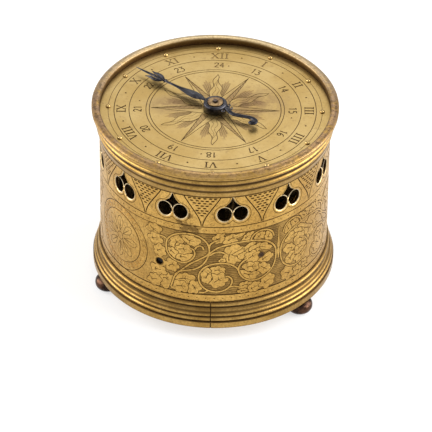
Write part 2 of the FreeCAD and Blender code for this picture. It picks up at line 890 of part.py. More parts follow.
def make_pillar_pins():
    """The cross pins that hold the top plate on its pillars."""
    pin_z = top_plate_top + pillar_pin_rise + pillar_pin_radius
    half = pillar_pin_length / 2
    pin = Part.makeCylinder(pillar_pin_radius, pillar_pin_length, Vector(-half, 0, pin_z), Vector(1, 0, 0))
    return Part.makeCompound([placed(pin, 0, at) for at in frame_pillar_places])


def make_bottom_plate():
    """The lower movement plate."""
    plate = disc(bottom_plate_radius, bottom_plate_z, bottom_plate_top)
    pivots = [second_at, third_at, mirrored(second_at), mirrored(third_at)]
    posts = [spring_post_at, mirrored(spring_post_at)]
    low = bottom_plate_z
    high = bottom_plate_top
    cutters = [hole(pivot_radius + running_fit, low, high, at) for at in pivots + [hammer_at]]
    cutters += [hole(arbor_radius + running_fit, low, high, at) for at in (great_at, strike_at)]
    cutters += [hole(tenon_radius, low, high, at) for at in frame_pillar_places + posts]
    return cut_all(plate, cutters)


def make_top_plate():
    """The upper movement plate, which rests on the seats in the case."""
    plate = disc(top_plate_radius, top_plate_z, top_plate_top)
    pivots = [second_at, third_at, mirrored(second_at), mirrored(third_at)]
    low = top_plate_z
    high = top_plate_top
    cutters = [hole(pivot_radius + running_fit, low, high, at) for at in pivots]
    cutters += [hole(pipe_radius + running_fit, low, high, at) for at in (great_at, strike_at)]
    tenons = frame_pillar_places + dial_pillar_places + [count_at, lever_at]
    cutters += [hole(tenon_radius, low, high, at) for at in tenons]
    cutters += [hole(screw_radius, low, high, at) for at in screw_places()]
    cutters.append(hole(hour_pivot_radius + running_fit, low, high))
    cutters.append(hole(verge_radius + seat_gap, low, high, verge_at))
    cutters.append(hole(hammer_shaft_radius + running_fit, low, high, hammer_at))
    cutters.append(hole(hammer_stop_radius, low, high, hammer_stop_at))
    slot = block(
        top_plate_radius - catch_slot_depth,
        top_plate_radius + cut_overrun,
        catch_leaf_width / 2 + catch_slot_fit,
        top_plate_z - cut_overrun,
        top_plate_top + cut_overrun,
    )
    cutters.append(placed(slot, catch_angle))
    return cut_all(plate, cutters)


def screw_places():
    """The centres of all frame screws: two at the bridge, one each at the cock and the two potences."""
    return bridge_legs + [cock_at, crown_screw_at, verge_screw_at]


def make_frame_screws():
    """The screws of the bridge and the cock from below, and of the two potences from above."""
    upward = [screw(at, top_plate_z, False) for at in bridge_legs + [cock_at]]
    downward = [screw(at, top_plate_top, True) for at in (crown_screw_at, verge_screw_at)]
    return Part.makeCompound(upward + downward)


def make_centre_bridge():
    """The bridge over the hour wheel, which carries the bell stand."""
    half = bridge_leg_offset + bridge_leg_depth / 2
    bar = block(-half, half, bridge_width / 2, bridge_z, bridge_top)
    legs = []
    for side in (-1, 1):
        middle = side * bridge_leg_offset
        low = middle - bridge_leg_depth / 2
        high = middle + bridge_leg_depth / 2
        legs.append(block(low, high, bridge_width / 2, top_plate_top, bridge_z))
    bridge = placed(fused([bar] + legs), FULL_TURN / 4)
    thread_top = top_plate_top + screw_depth - cut_overrun
    cutters = [hole(screw_radius, top_plate_top, thread_top, at) for at in bridge_legs]
    cutters.append(hole(hour_arbor_radius + running_fit, bridge_z, bridge_top))
    return cut_all(bridge, cutters)


def make_bell_stand():
    """The tube round the hour arbor that carries the bell on its shoulder."""
    shoulder = bell_crown_top - bell_thickness
    tube = fused([
        disc(bell_stand_radius, bridge_top, shoulder),
        disc(bell_spigot_radius, shoulder, bell_crown_top + bell_nut_height),
    ])
    return tube.cut(hole(bell_stand_bore, bridge_top, bell_crown_top + bell_nut_height))


def make_bell():
    """The bell, a turned bowl with its mouth down."""
    inner_top = bell_crown_top - bell_thickness
    points = [
        (bell_spigot_radius + sleeve_fit, inner_top),
        (bell_crown_radius, inner_top),
        (bell_radius - bell_thickness, bell_mouth_z),
        (bell_radius, bell_mouth_z),
        (bell_crown_radius + bell_thickness / 2, bell_crown_top),
        (bell_spigot_radius + sleeve_fit, bell_crown_top),
    ]
    return turned_points(points, [(1, -bell_bow_share), (3, bell_bow_share)])


def make_bell_nut():
    """The nut that holds the bell on its stand."""
    step = FULL_TURN / bell_nut_sides
    corners = [polar(bell_nut_radius, k * step) for k in range(bell_nut_sides)]
    nut = prism(corners, bell_crown_top, bell_crown_top + bell_nut_height)
    return nut.cut(hole(bell_spigot_radius, bell_crown_top, bell_crown_top + bell_nut_height))


# Power: springs, winding arbors and great wheels, all on the going side first

def make_mainspring():
    """An open mainspring, a flat strip of half turns whose radius grows by half the pitch each time."""
    half = spring_thickness / 2
    inside = []
    outside = []
    shift = spring_pitch / 4
    for k in range(spring_half_turns):
        side = 1 if k % 2 == 0 else -1
        centre = Vector(-side * shift, 0, spring_z)
        radius = spring_start_radius + spring_pitch * k / 2
        for edges, reach in ((inside, radius - half), (outside, radius + half)):
            start = centre + Vector(side * reach, 0, 0)
            top = centre + Vector(0, side * reach, 0)
            end = centre - Vector(side * reach, 0, 0)
            edges.append(Part.Arc(start, top, end).toShape())
    first = Part.makeLine(inside[0].Vertexes[0].Point, outside[0].Vertexes[0].Point)
    last = Part.makeLine(inside[-1].Vertexes[-1].Point, outside[-1].Vertexes[-1].Point)
    wire = Part.Wire(Part.__sortEdges__(inside + outside + [first, last]))
    strip = Part.Face(wire).extrude(Vector(0, 0, spring_top - spring_z))
    end_turn = HALF_TURN if spring_half_turns % 2 else 0
    return placed(strip, spring_end_angle - end_turn, great_at)


def make_spring_posts():
    """The post at the outer end of each mainspring, riveted in the bottom plate."""
    post = fused([
        disc(tenon_radius, bottom_plate_z, bottom_plate_top),
        disc(spring_post_radius, bottom_plate_top, spring_top),
    ])
    places = (spring_post_at, mirrored(spring_post_at))
    return Part.makeCompound([placed(post, 0, at) for at in places])


def make_winding_arbor(top_z):
    """The winding arbor, squared below for the key and free to turn inside the wheel's pipe above."""
    low = bottom_plate_z - arbor_below_plate
    side = arbor_radius * math.sqrt(2)
    square = Part.makeBox(side, side, bottom_plate_z - seat_gap - low, Vector(-side / 2, -side / 2, low))
    collar_z = bottom_plate_top + seat_gap
    arbor = fused([
        square,
        disc(arbor_radius, bottom_plate_z - seat_gap, ratchet_top),
        disc(arbor_collar_radius, collar_z, collar_z + arbor_collar_height),
        disc(arbor_top_radius, ratchet_top, top_z),
    ])
    return placed(arbor, 0, great_at)


def make_ratchet():
    """The ratchet wheel fixed on the winding arbor."""
    points = []
    for tooth in range(ratchet_teeth):
        angle = tooth * FULL_TURN / ratchet_teeth
        points.append(polar(ratchet_radius - ratchet_tooth_depth, angle))
        points.append(polar(ratchet_radius, angle))
    blank = prism(points, ratchet_z, ratchet_top)
    return placed(blank.cut(hole(arbor_radius, ratchet_z, ratchet_top)), 0, great_at)


def make_click():
    """The click on the underside of the great wheel, its nose just clear of the ratchet."""
    pivot = polar(click_pivot_radius, 0)
    nose = polar(ratchet_radius + click_gap, click_reach_angle)
    nose_back = polar(ratchet_radius + click_gap + click_nose_width, click_reach_angle)
    along = nose - pivot
    across = Vector(-along.y, along.x, 0) * (click_boss_radius / along.Length)
    arm = prism([pivot + across, nose, nose_back, pivot - across], ratchet_z, ratchet_top)
    boss = disc(click_boss_radius, ratchet_z, ratchet_top, pivot)
    pin = disc(click_pin_radius, ratchet_top, great_z + great_thickness / 2, pivot)
    return placed(fused([boss, arm, pin]), 0, great_at)


def make_great_wheel(top_z):
    """The great wheel with the pipe that carries its report pinion above the top plate."""
    tooth_at = second_angle
    blank = prism(gear_points(great_teeth, train_module, wheel_addendum_share, tooth_at), great_z, great_top)
    boss = disc(great_boss_radius, great_top, great_top + great_boss_height)
    pipe = disc(pipe_radius, great_top, top_z)
    body = fused([blank, boss, pipe]).cut(hole(arbor_top_radius + running_fit, great_z, top_z))
    pocket = disc(
        click_pin_radius + running_fit,
        great_z - cut_overrun,
        great_z + great_thickness / 2 + running_fit,
        polar(click_pivot_radius, 0),
    )
    return placed(body.cut(pocket), 0, great_at)


def make_second_arbor():
    """The second arbor with its pinion under the great wheel's teeth."""
    shaft = pivoted_shaft(
        second_at,
        bottom_plate_top + pivot_shoulder,
        top_plate_z - pivot_shoulder,
        bottom_plate_z,
        top_plate_top,
    )
    leaves = pinion(
        pinion_leaves,
        train_module,
        second_angle + HALF_TURN,
        great_z - pinion_overlap,
        great_top + pinion_overlap,
        second_at,
    )
    return fused([shaft, leaves])


def make_second_wheel():
    """The crossed-out wheel on the second arbor."""
    blank = wheel(second_teeth, train_module, third_angle, second_z, second_top, shaft_radius, second_at)
    rim = second_pitch - crossing_rim
    return blank.cut(crossings(rim, second_z, second_top, second_at))


def make_third_arbor():
    """The third arbor with its pinion at the second wheel."""
    shaft = pivoted_shaft(
        third_at,
        bottom_plate_top + pivot_shoulder,
        top_plate_z - pivot_shoulder,
        bottom_plate_z,
        top_plate_top,
    )
    leaves = pinion(
        pinion_leaves,
        train_module,
        third_angle + HALF_TURN,
        second_z - pinion_overlap,
        second_top + pinion_overlap,
        third_at,
    )
    return fused([shaft, leaves])


# Escapement

def along_crown(shape):
    """A shape built with the crown axis along Z and up along Y, moved to its place over the third arbor."""
    axis = polar(1, crown_angle)
    across = polar(1, crown_angle + FULL_TURN / 4)
    copy = shape.copy()
    turn = FreeCAD.Rotation(across, UP, axis, "ZXY")
    copy.Placement = FreeCAD.Placement(Vector(third_at.x, third_at.y, crown_z), turn)
    return copy


def make_contrate_wheel():
    """The contrate wheel, whose teeth stand up from its rim and drive the crown wheel's pinion."""
    outer = contrate_pitch + contrate_face / 2
    inner = contrate_pitch - contrate_face / 2
    top = contrate_z + contrate_height
    body = fused([
        disc(outer, contrate_z, contrate_z + contrate_disc),
        ring(outer, inner, contrate_z + contrate_disc, top),
    ]).cut(hole(shaft_radius, contrate_z, top))
    pitch_z = top - wheel_addendum_share * train_module
    slope = math.tan(math.radians(pressure_angle))
    half_space = (1 - tooth_thickness_share) * math.pi * train_module / 2
    low = pitch_z - dedendum_share * train_module
    high = top + cut_overrun
    half_low = half_space - (pitch_z - low) * slope
    half_high = half_space + (high - pitch_z) * slope
    notch = face_of([
        Vector(inner - cut_overrun, -half_low, low),
        Vector(inner - cut_overrun, half_low, low),
        Vector(inner - cut_overrun, half_high, high),
        Vector(inner - cut_overrun, -half_high, high),
    ]).extrude(Vector(contrate_face + 2 * cut_overrun, 0, 0))
    step = FULL_TURN / contrate_teeth
    cutters = [placed(notch, crown_angle + (k + 1 / 2) * step) for k in range(contrate_teeth)]
    return placed(cut_all(body, cutters), 0, third_at)


def make_crown_arbor():
    """The crown wheel's arbor with its pinion over the contrate wheel."""
    body_low = potence_start + potence_arm + pivot_shoulder
    body_high = far_potence_start - pivot_shoulder
    shaft = fused([
        disc(pivot_radius, potence_start - pivot_shoulder, body_low),
        disc(shaft_radius, body_low, body_high),
        disc(pivot_radius, body_high, crown_wheel_start + crown_disc),
    ])
    leaves = pinion(
        pinion_leaves,
        train_module,
        -FULL_TURN / 4,
        crown_pinion_start,
        crown_pinion_end,
    )
    return along_crown(fused([shaft, leaves]))


def make_crown_wheel():
    """The crown wheel with its saw teeth toward the verge."""
    disc_top = crown_wheel_start + crown_disc
    body = fused([
        disc(crown_radius, crown_wheel_start, disc_top),
        ring(crown_radius, crown_radius - crown_ring, disc_top, crown_tip),
    ]).cut(hole(pivot_radius, crown_wheel_start, disc_top))
    step = FULL_TURN / crown_teeth
    pitch = 2 * crown_radius * math.tan(math.radians(step / 2))
    low = crown_tip - crown_tooth_depth
    high = crown_tip + cut_overrun
    near = crown_radius - crown_ring - cut_overrun
    gash = face_of([
        Vector(near, 0, low),
        Vector(near, pitch * crown_tooth_lean_share, crown_tip),
        Vector(near, pitch * crown_tooth_lean_share, high),
        Vector(near, 0, high),
    ]).extrude(Vector(crown_ring + 2 * cut_overrun, 0, 0))
    return along_crown(cut_all(body, [placed(gash, k * step) for k in range(crown_teeth)]))


def make_crown_potence():
    """The bracket under the top plate that holds both pivots of the crown wheel's arbor."""
    far_end = far_potence_start + potence_arm
    half = potence_width / 2
    arm_z = crown_z - half
    bracket = fused([
        block(potence_start, far_end, half, top_plate_z - potence_flange, top_plate_z),
        block(potence_start, potence_start + potence_arm, half, arm_z, top_plate_z),
        block(far_potence_start, far_end, half, arm_z, top_plate_z),
    ])
    bore = Part.makeCylinder(
        pivot_radius + running_fit,
        far_end + cut_overrun,
        Vector(0, 0, crown_z),
        Vector(1, 0, 0),
    )
    threads = hole(screw_radius, top_plate_z - potence_flange, top_plate_z, crown_screw_at)
    return placed(bracket.cut(bore), crown_angle, third_at).cut(threads)


def make_verge():
    """The verge with its two pallets, one at the top and one at the bottom of the crown wheel."""
    foot_top = crown_z - crown_radius - verge_foot_drop
    low = foot_top + seat_gap
    high = cock_z - seat_gap
    staff = fused([
        disc(verge_pivot_radius, foot_top - verge_foot_thickness, low),
        disc(verge_radius, low, high),
        disc(verge_pivot_radius, high, cock_z + cock_thickness),
    ])
    middle = crown_radius - crown_ring / 2
    toward = crown_angle + HALF_TURN
    flag = block(0, pallet_length, pallet_thickness / 2, -pallet_width / 2, pallet_width / 2)
    upper = placed(flag, toward + pallet_angle)
    upper.translate(Vector(0, 0, crown_z + middle))
    lower = placed(flag, toward - pallet_angle)
    lower.translate(Vector(0, 0, crown_z - middle))
    return placed(fused([staff, upper, lower]), 0, verge_at)


def make_verge_potence():
    """The bracket under the top plate that holds the lower pivot of the verge."""
    foot_top = crown_z - crown_radius - verge_foot_drop
    foot_low = foot_top - verge_foot_thickness
    near = verge_offset - verge_radius - running_fit
    bracket = fused([
        block(verge_post_near, verge_post_far, potence_width / 2, foot_low, top_plate_z),
        block(near, verge_post_far, potence_width / 2, foot_low, foot_top),
    ])
    bore = hole(verge_pivot_radius + running_fit, foot_low, foot_top, Vector(verge_offset, 0, 0))
    threads = hole(screw_radius, top_plate_z - screw_depth + cut_overrun, top_plate_z, verge_screw_at)
    return placed(bracket.cut(bore), crown_angle, third_at).cut(threads)


def make_balance_wheel():
    """The balance wheel, a ring on one bar."""
    top = balance_z + balance_thickness
    rim = ring(balance_radius, balance_radius - balance_rim, balance_z, top)
    reach = balance_radius - balance_rim / 2
    bar = block(-reach, reach, balance_rim / 2, balance_z, top)
    hub = disc(balance_hub_radius, balance_z, top)
    return placed(fused([rim, bar, hub]).cut(hole(verge_radius, balance_z, top)), crown_angle, verge_at)


def make_balance_cock():
    """The cock that holds the upper pivot of the verge over the balance wheel."""
    half = cock_width / 2
    reach = cock_foot_distance + half
    arm = block(-half, reach, half, cock_z, cock_z + cock_thickness)
    foot = block(cock_foot_distance - half, reach, half, top_plate_top, cock_z)
    bore = hole(verge_pivot_radius + running_fit, cock_z, cock_z + cock_thickness)
    cock = placed(fused([arm, foot]).cut(bore), cock_foot_angle, verge_at)
    return cock.cut(hole(screw_radius, top_plate_top, top_plate_top + screw_depth - cut_overrun, cock_at))


# Hour work

def make_going_report_pinion():
    """The pinion on the great wheel's pipe that drives the hour wheel."""
    points = gear_points(report_leaves, report_module, pinion_addendum_share, 0)
    return placed(prism(points, hour_z, hour_top).cut(hole(pipe_radius, hour_z, hour_top)), 0, great_at)


def make_hour_wheel():
    """The hour wheel in the middle of the clock."""
    tooth_at = HALF_TURN + HALF_TURN / hour_teeth
    blank = wheel(hour_teeth, report_module, tooth_at, hour_z, hour_top, hour_arbor_radius)
    rim = hour_pitch - crossing_rim
    return blank.cut(crossings(rim, hour_z, hour_top, ORIGIN))


def make_hour_arbor():
    """The long arbor from the hour wheel up through the bell and the dial to the hand."""
    shoulder = top_plate_top + pivot_shoulder
    return fused([
        disc(hour_pivot_radius, top_plate_z, shoulder),
        disc(hour_arbor_radius, shoulder, hand_hub_top),
        disc(hand_pin_radius, hand_hub_top, hand_hub_top + hand_washer_height + hand_pin_rise),
    ])


# Strike work

def make_strike_great_wheel(top_z):
    """The strike great wheel with the lifting pins on its underside."""
    body = placed(make_great_wheel(top_z), HALF_TURN)
    pins = []
    for k in range(lifting_pins):
        at = polar(lifting_pin_circle, (k + 1 / 2) * FULL_TURN / lifting_pins, 0, strike_at)
        pins.append(disc(lifting_pin_radius, great_z - lifting_pin_length, great_z, at))
    return fused([body] + pins)


def make_strike_report_pinion():
    """The pinion on the strike wheel's pipe that drives the count wheel."""
    top = count_disc_z - 2 * running_fit
    points = gear_points(count_leaves, count_module, pinion_addendum_share, count_angle)
    return placed(prism(points, count_z, top).cut(hole(pipe_radius, count_z, top)), 0, strike_at)


def make_count_wheel():
    """The count wheel: a toothed wheel with a disc on it that is notched for the hours one to twelve."""
    tooth_at = count_angle + HALF_TURN + HALF_TURN / count_teeth
    points = gear_points(count_teeth, count_module, wheel_addendum_share, tooth_at)
    gear = prism(points, count_z, count_disc_z)
    plate = disc(count_disc_radius, count_disc_z, count_top)
    blows_in_all = count_hours * (count_hours + 1) / 2
    notch = block(
        count_disc_radius - count_notch_depth,
        count_disc_radius + cut_overrun,
        count_notch_width / 2,
        count_disc_z,
        count_top + cut_overrun,
    )
    notches = []
    struck = 0
    for hour in range(1, count_hours + 1):
        struck += hour
        notches.append(placed(notch, struck * FULL_TURN / blows_in_all))
    body = fused([gear, plate]).cut(hole(stud_radius + running_fit, count_z, count_top))
    return placed(cut_all(body, notches), 0, count_at)


def make_strike_stud(seat_z, top_z, at):
    """A stud on the top plate with a collar below and a head above the piece that turns on it."""
    return placed(
        fused([
            disc(tenon_radius, top_plate_z, top_plate_top),
            disc(stud_collar_radius, top_plate_top, seat_z - running_fit),
            disc(stud_radius, seat_z - running_fit, top_z + running_fit),
            disc(stud_collar_radius, top_z + running_fit, top_z + running_fit + stud_head_height),
        ]),
        0,
        at,
    )


def make_strike_studs():
    """The studs of the count wheel and of the locking lever."""
    count_stud = make_strike_stud(count_z, count_top, count_at)
    lever_stud = make_strike_stud(count_disc_z, count_top, lever_at)
    return Part.makeCompound([count_stud, lever_stud])


def make_locking_lever():
    """The locking lever, whose beak rides just outside the rim of the count wheel."""
    pivot = polar(lever_distance, lever_angle)
    turn = lever_angle + lever_reach_angle
    tip = polar(count_disc_radius + lever_gap + lever_beak, turn)
    beak = polar(count_disc_radius + lever_gap, turn)
    along = tip - pivot
    forward = along * (lever_half_width / along.Length)
    across = Vector(-forward.y, forward.x, 0)
    arm = prism([pivot + across, tip + across, tip - across, pivot - across], count_disc_z, count_top)
    nose = prism([tip - forward, beak, tip + forward], count_disc_z, count_top)
    boss = disc(lever_boss_radius, count_disc_z, count_top, pivot)
    rim = disc(count_disc_radius + lever_gap, count_disc_z - cut_overrun, count_top + cut_overrun)
    bore = hole(stud_radius + running_fit, count_disc_z, count_top, pivot)
    return placed(cut_all(fused([arm, nose, boss]), [bore, rim]), 0, count_at)


def make_locking_wheel():
    """The locking wheel, like the second wheel of the going train but with two stop pins."""
    body = placed(make_second_wheel(), HALF_TURN)
    locking_at = mirrored(second_at)
    pins = []
    for k in range(stop_pins):
        at = polar(stop_pin_circle, k * FULL_TURN / stop_pins, 0, locking_at)
        pins.append(disc(lifting_pin_radius, second_top, second_top + stop_pin_length, at))
    return fused([body] + pins)


def make_fly():
    """The fly, a flat vane that slows the strike train by the air it moves."""
    low = bottom_plate_top + fly_rise
    high = low + fly_height
    vane = block(-fly_half_width, fly_half_width, fly_thickness / 2, low, high)
    body = fused([disc(fly_hub_radius, low, high), vane]).cut(hole(shaft_radius, low, high))
    return placed(body, third_angle, mirrored(third_at))


def make_hammer_arbor():
    """The hammer's arbor with its tail at the lifting pins and its arm beside the bell."""
    arm_z = bell_mouth_z + hammer_arm_rise
    arm_top = arm_z + hammer_arm_height
    tail_top = great_z - seat_gap
    tail_z = tail_top - hammer_tail_height
    tail_reach = hammer_distance - lifting_pin_circle - lifting_pin_radius - seat_gap
    tail = placed(block(0, tail_reach, hammer_tail_width / 2, tail_z, tail_top), hammer_angle + HALF_TURN)
    arm = placed(block(0, hammer_arm_length, hammer_arm_width / 2, arm_z, arm_top), hammer_arm_angle)
    low = bottom_plate_top + pivot_shoulder
    shaft = fused([
        disc(pivot_radius, bottom_plate_z, low),
        disc(hammer_shaft_radius, low, arm_top),
        disc(hammer_hub_radius, arm_z, arm_top),
        disc(hammer_hub_radius, tail_z, tail_top),
    ])
    return placed(fused([shaft, tail, arm]), 0, hammer_at).cut(hammer_head_body())


def hammer_head_body():
    """The hammer's head as a cylinder that points at the bell."""
    end = polar(hammer_arm_length, hammer_arm_angle, 0, hammer_at)
    turn = math.degrees(math.atan2(end.y, end.x))
    z = bell_mouth_z + hammer_arm_rise + hammer_arm_height / 2
    return radial_pin(hammer_head_radius, hammer_head_face, hammer_head_face + hammer_head_length, z, turn)


def make_hammer_stop():
    """The stop pin that holds the hammer's arm off the bell between blows."""
    top = bell_mouth_z + hammer_arm_rise + 2 * hammer_arm_height
    return disc(hammer_stop_radius, top_plate_z, top, hammer_stop_at)


def make_case_catch():
    """The spring catch that hangs in a slot of the top plate, its nib in the hole of the wall."""
    near = top_plate_radius - catch_slot_depth + catch_slot_fit
    far = near + catch_leaf_thickness
    leaf = block(near, far, catch_leaf_width / 2, catch_z - catch_leaf_tail, top_plate_top)
    nib = Part.makeCylinder(
        catch_nib_radius,
        wall_radius - catch_nib_recess - near,
        Vector(near, 0, catch_z),
        Vector(1, 0, 0),
    )
    return placed(fused([leaf, nib]), catch_angle)


# Every piece of the clock under its node's name
strike_pipe_top = count_disc_z - 2 * running_fit
pieces = {
    "drum_wall": make_drum_wall(),
    "top_moulding": make_top_moulding(),
    "base_moulding": make_base_moulding(),
    "base_plate": make_base_plate(),
    "support_blocks": make_support_blocks(),
    "support_rivets": make_support_rivets(),
    "dial_plate": make_dial_plate(),
    "touch_pins": make_touch_pins(),
    "dial_pillars": make_dial_pillars(),
    "hour_hand": make_hour_hand(),
    "hand_washer": make_hand_washer(),
    "frame_pillars": make_frame_pillars(),
    "pillar_pins": make_pillar_pins(),
    "bottom_plate": make_bottom_plate(),
    "top_plate": make_top_plate(),
    "frame_screws": make_frame_screws(),
    "centre_bridge": make_centre_bridge(),
    "bell_stand": make_bell_stand(),
    "bell": make_bell(),
    "bell_nut": make_bell_nut(),
    "spring_posts": make_spring_posts(),
    "going_mainspring": make_mainspring(),
    "strike_mainspring": placed(make_mainspring(), HALF_TURN),
    "going_arbor": make_winding_arbor(hour_top),
    "strike_arbor": placed(make_winding_arbor(strike_pipe_top), HALF_TURN),
    "going_ratchet": make_ratchet(),
    "strike_ratchet": placed(make_ratchet(), HALF_TURN),
    "going_click": make_click(),
    "strike_click": placed(make_click(), HALF_TURN),
    "going_great_wheel": make_great_wheel(hour_top),
    "strike_great_wheel": make_strike_great_wheel(strike_pipe_top),
    "going_report_pinion": make_going_report_pinion(),
    "strike_report_pinion": make_strike_report_pinion(),
    "second_arbor": make_second_arbor(),
    "second_wheel": make_second_wheel(),
    "contrate_arbor": make_third_arbor(),
    "contrate_wheel": make_contrate_wheel(),
    "crown_arbor": make_crown_arbor(),
    "crown_wheel": make_crown_wheel(),
    "crown_potence": make_crown_potence(),
    "verge": make_verge(),
    "verge_potence": make_verge_potence(),
    "balance_wheel": make_balance_wheel(),
    "balance_cock": make_balance_cock(),
    "hour_wheel": make_hour_wheel(),
    "hour_arbor": make_hour_arbor(),
    "locking_arbor": placed(make_second_arbor(), HALF_TURN),
    "locking_wheel": make_locking_wheel(),
    "fly_arbor": placed(make_third_arbor(), HALF_TURN),
    "fly": make_fly(),
    "count_wheel": make_count_wheel(),
    "strike_studs": make_strike_studs(),
    "locking_lever": make_locking_lever(),
    "hammer_arbor": make_hammer_arbor(),
    "hammer_head": hammer_head_body(),
    "hammer_stop": make_hammer_stop(),
    "case_catch": make_case_catch(),
}
for number, place in enumerate(foot_places(), start=1):
    pieces[f"foot_{number}"] = make_foot(place)

os.makedirs("parts", exist_ok=True)
for name, shape in pieces.items():
    shape.exportStep(f"parts/{name}.step")
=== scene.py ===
"""The looks of a drum-shaped table clock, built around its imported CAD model.

The case is gilt brass: a pierced and engraved wall between two turned mouldings, on three dark bun feet. The dial
on top is engraved with the hours and a sun, has a touch pin at each hour, and carries one blued steel hand.
All lengths are in millimetres until a mesh is made, apart from the studio's lamps and floor, which are in metres.
"""
import logging
import math
from dataclasses import dataclass
from enum import Enum
from typing import Callable, Sequence

import bpy
from mathutils import Matrix, Vector, noise
from mathutils.geometry import delaunay_2d_cdt


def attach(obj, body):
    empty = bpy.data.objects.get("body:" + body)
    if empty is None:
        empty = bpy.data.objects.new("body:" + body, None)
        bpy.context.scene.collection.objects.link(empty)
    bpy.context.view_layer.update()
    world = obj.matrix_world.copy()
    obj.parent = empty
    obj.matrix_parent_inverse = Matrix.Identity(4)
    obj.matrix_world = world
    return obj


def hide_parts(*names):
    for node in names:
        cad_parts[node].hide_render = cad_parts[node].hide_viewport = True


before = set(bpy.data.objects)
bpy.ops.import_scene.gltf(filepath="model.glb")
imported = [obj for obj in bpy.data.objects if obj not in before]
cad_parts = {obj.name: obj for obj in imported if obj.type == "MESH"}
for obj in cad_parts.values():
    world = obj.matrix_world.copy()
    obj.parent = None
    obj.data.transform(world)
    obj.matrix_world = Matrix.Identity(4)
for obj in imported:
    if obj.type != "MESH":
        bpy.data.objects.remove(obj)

LOG = logging.getLogger("table_clock")
MM = 0.001

Pair = tuple[float, float]
Triple = tuple[float, float, float]
Colour = tuple[float, float, float]
Face = tuple[int, ...]
Placing = Callable[[float, float], Pair]
Socket = bpy.types.NodeSocket
Inputs = dict[int | str, object]
Tenths = tuple[tuple[int, int], ...]


# Small geometry helpers

def polar(radius: float, degrees: float, centre: Pair = (0.0, 0.0)) -> Pair:
    """The point at a radius and a mathematical angle from centre."""
    turn = math.radians(degrees)
    return centre[0] + radius * math.cos(turn), centre[1] + radius * math.sin(turn)


def spoke(turn: float) -> Placing:
    """Gives the places of points by their distance from the origin along a clockwise angle, and to the right."""
    out = math.radians(turn)
    return lambda r, s: (r * math.sin(out) + s * math.cos(out), r * math.cos(out) - s * math.sin(out))


def smooth_line(points: Sequence[Sequence[float]], steps: int) -> list[tuple[float, ...]]:
    """Runs a smooth curve through points.

    Args:
        points: The points of the line, of any dimension.
        steps: How many stretches stand for each span between two points.

    Returns:
        The points of the curve, the given ones among them.
    """
    ends = [points[0], *points, points[-1]]
    line = [tuple(points[0])]
    for k in range(1, len(ends) - 2):
        a, b, c, d = ends[k - 1:k + 3]
        for step in range(1, steps + 1):
            t = step / steps
            line.append(tuple(
                0.5 * (2 * q + (r - p) * t + (2 * p - 5 * q + 4 * r - s) * t ** 2 + (3 * q - p - 3 * r + s) * t ** 3)
                for p, q, r, s in zip(a, b, c, d)
            ))
    return line


def ribbon(points: Sequence[Pair], half_widths: float | Sequence[float]) -> list[list[Pair]]:
    """Turns a line into a strip of four-sided patches.

    Args:
        points: The middle line.
        half_widths: Half of the strip's width, all along it or at each point.

    Returns:
        One outline for each stretch, each sharing an edge with the next.
    """
    halves = [half_widths] * len(points) if isinstance(half_widths, float) else half_widths
    left, right = [], []
    for k, (x, y) in enumerate(points):
        before = points[max(k - 1, 0)]
        after = points[min(k + 1, len(points) - 1)]
        dx, dy = after[0] - before[0], after[1] - before[1]
        length = math.hypot(dx, dy) or 1.0
        nx, ny = -dy / length * halves[k], dx / length * halves[k]
        left.append((x + nx, y + ny))
        right.append((x - nx, y - ny))
    return [[right[k], right[k + 1], left[k + 1], left[k]] for k in range(len(points) - 1)]


def ring_patches(radius: float, half_width: float, count: int) -> list[list[Pair]]:
    """A circular line round the origin as four-sided patches."""
    line = [polar(radius, 360 * k / count) for k in range(count)]
    return ribbon([line[k % count] for k in range(-1, count + 2)], half_width)[1:-1]


def oval(centre: Pair, wide: float, tall: float, count: int) -> list[Pair]:
    """An ellipse by its half width and half height."""
    turns = [2 * math.pi * k / count for k in range(count)]
    return [(centre[0] + wide * math.cos(t), centre[1] + tall * math.sin(t)) for t in turns]


def grown(outline: Sequence[Pair], margin: float) -> list[Pair]:
    """Moves a closed outline outward.

    Args:
        outline: The outline, counter-clockwise.
        margin: How far it moves.

    Returns:
        The moved outline.
    """
    count = len(outline)
    moved = []
    for k, (x, y) in enumerate(outline):
        before, after = outline[k - 1], outline[(k + 1) % count]
        dx, dy = after[0] - before[0], after[1] - before[1]
        length = math.hypot(dx, dy) or 1.0
        moved.append((x + dy / length * margin, y - dx / length * margin))
    return moved


def counter_clockwise(outline: Sequence[Pair]) -> list[Pair]:
    """The same outline, turned round where it runs clockwise."""
    area = sum(a[0] * b[1] - b[0] * a[1] for a, b in zip(outline, [*outline[1:], outline[0]]))
    return list(outline) if area > 0 else list(reversed(outline))


def inside(point: Pair, outline: Sequence[Pair]) -> bool:
    """Tells whether a point lies inside a closed outline.

    Args:
        point: The point.
        outline: The outline.

    Returns:
        True for a point inside it.
    """
    x, y = point
    hit = False
    for (ax, ay), (bx, by) in zip(outline, [*outline[1:], outline[0]]):
        if (ay > y) != (by > y) and x < (bx - ax) * (y - ay) / (by - ay) + ax:
            hit = not hit
    return hit


# Meshes

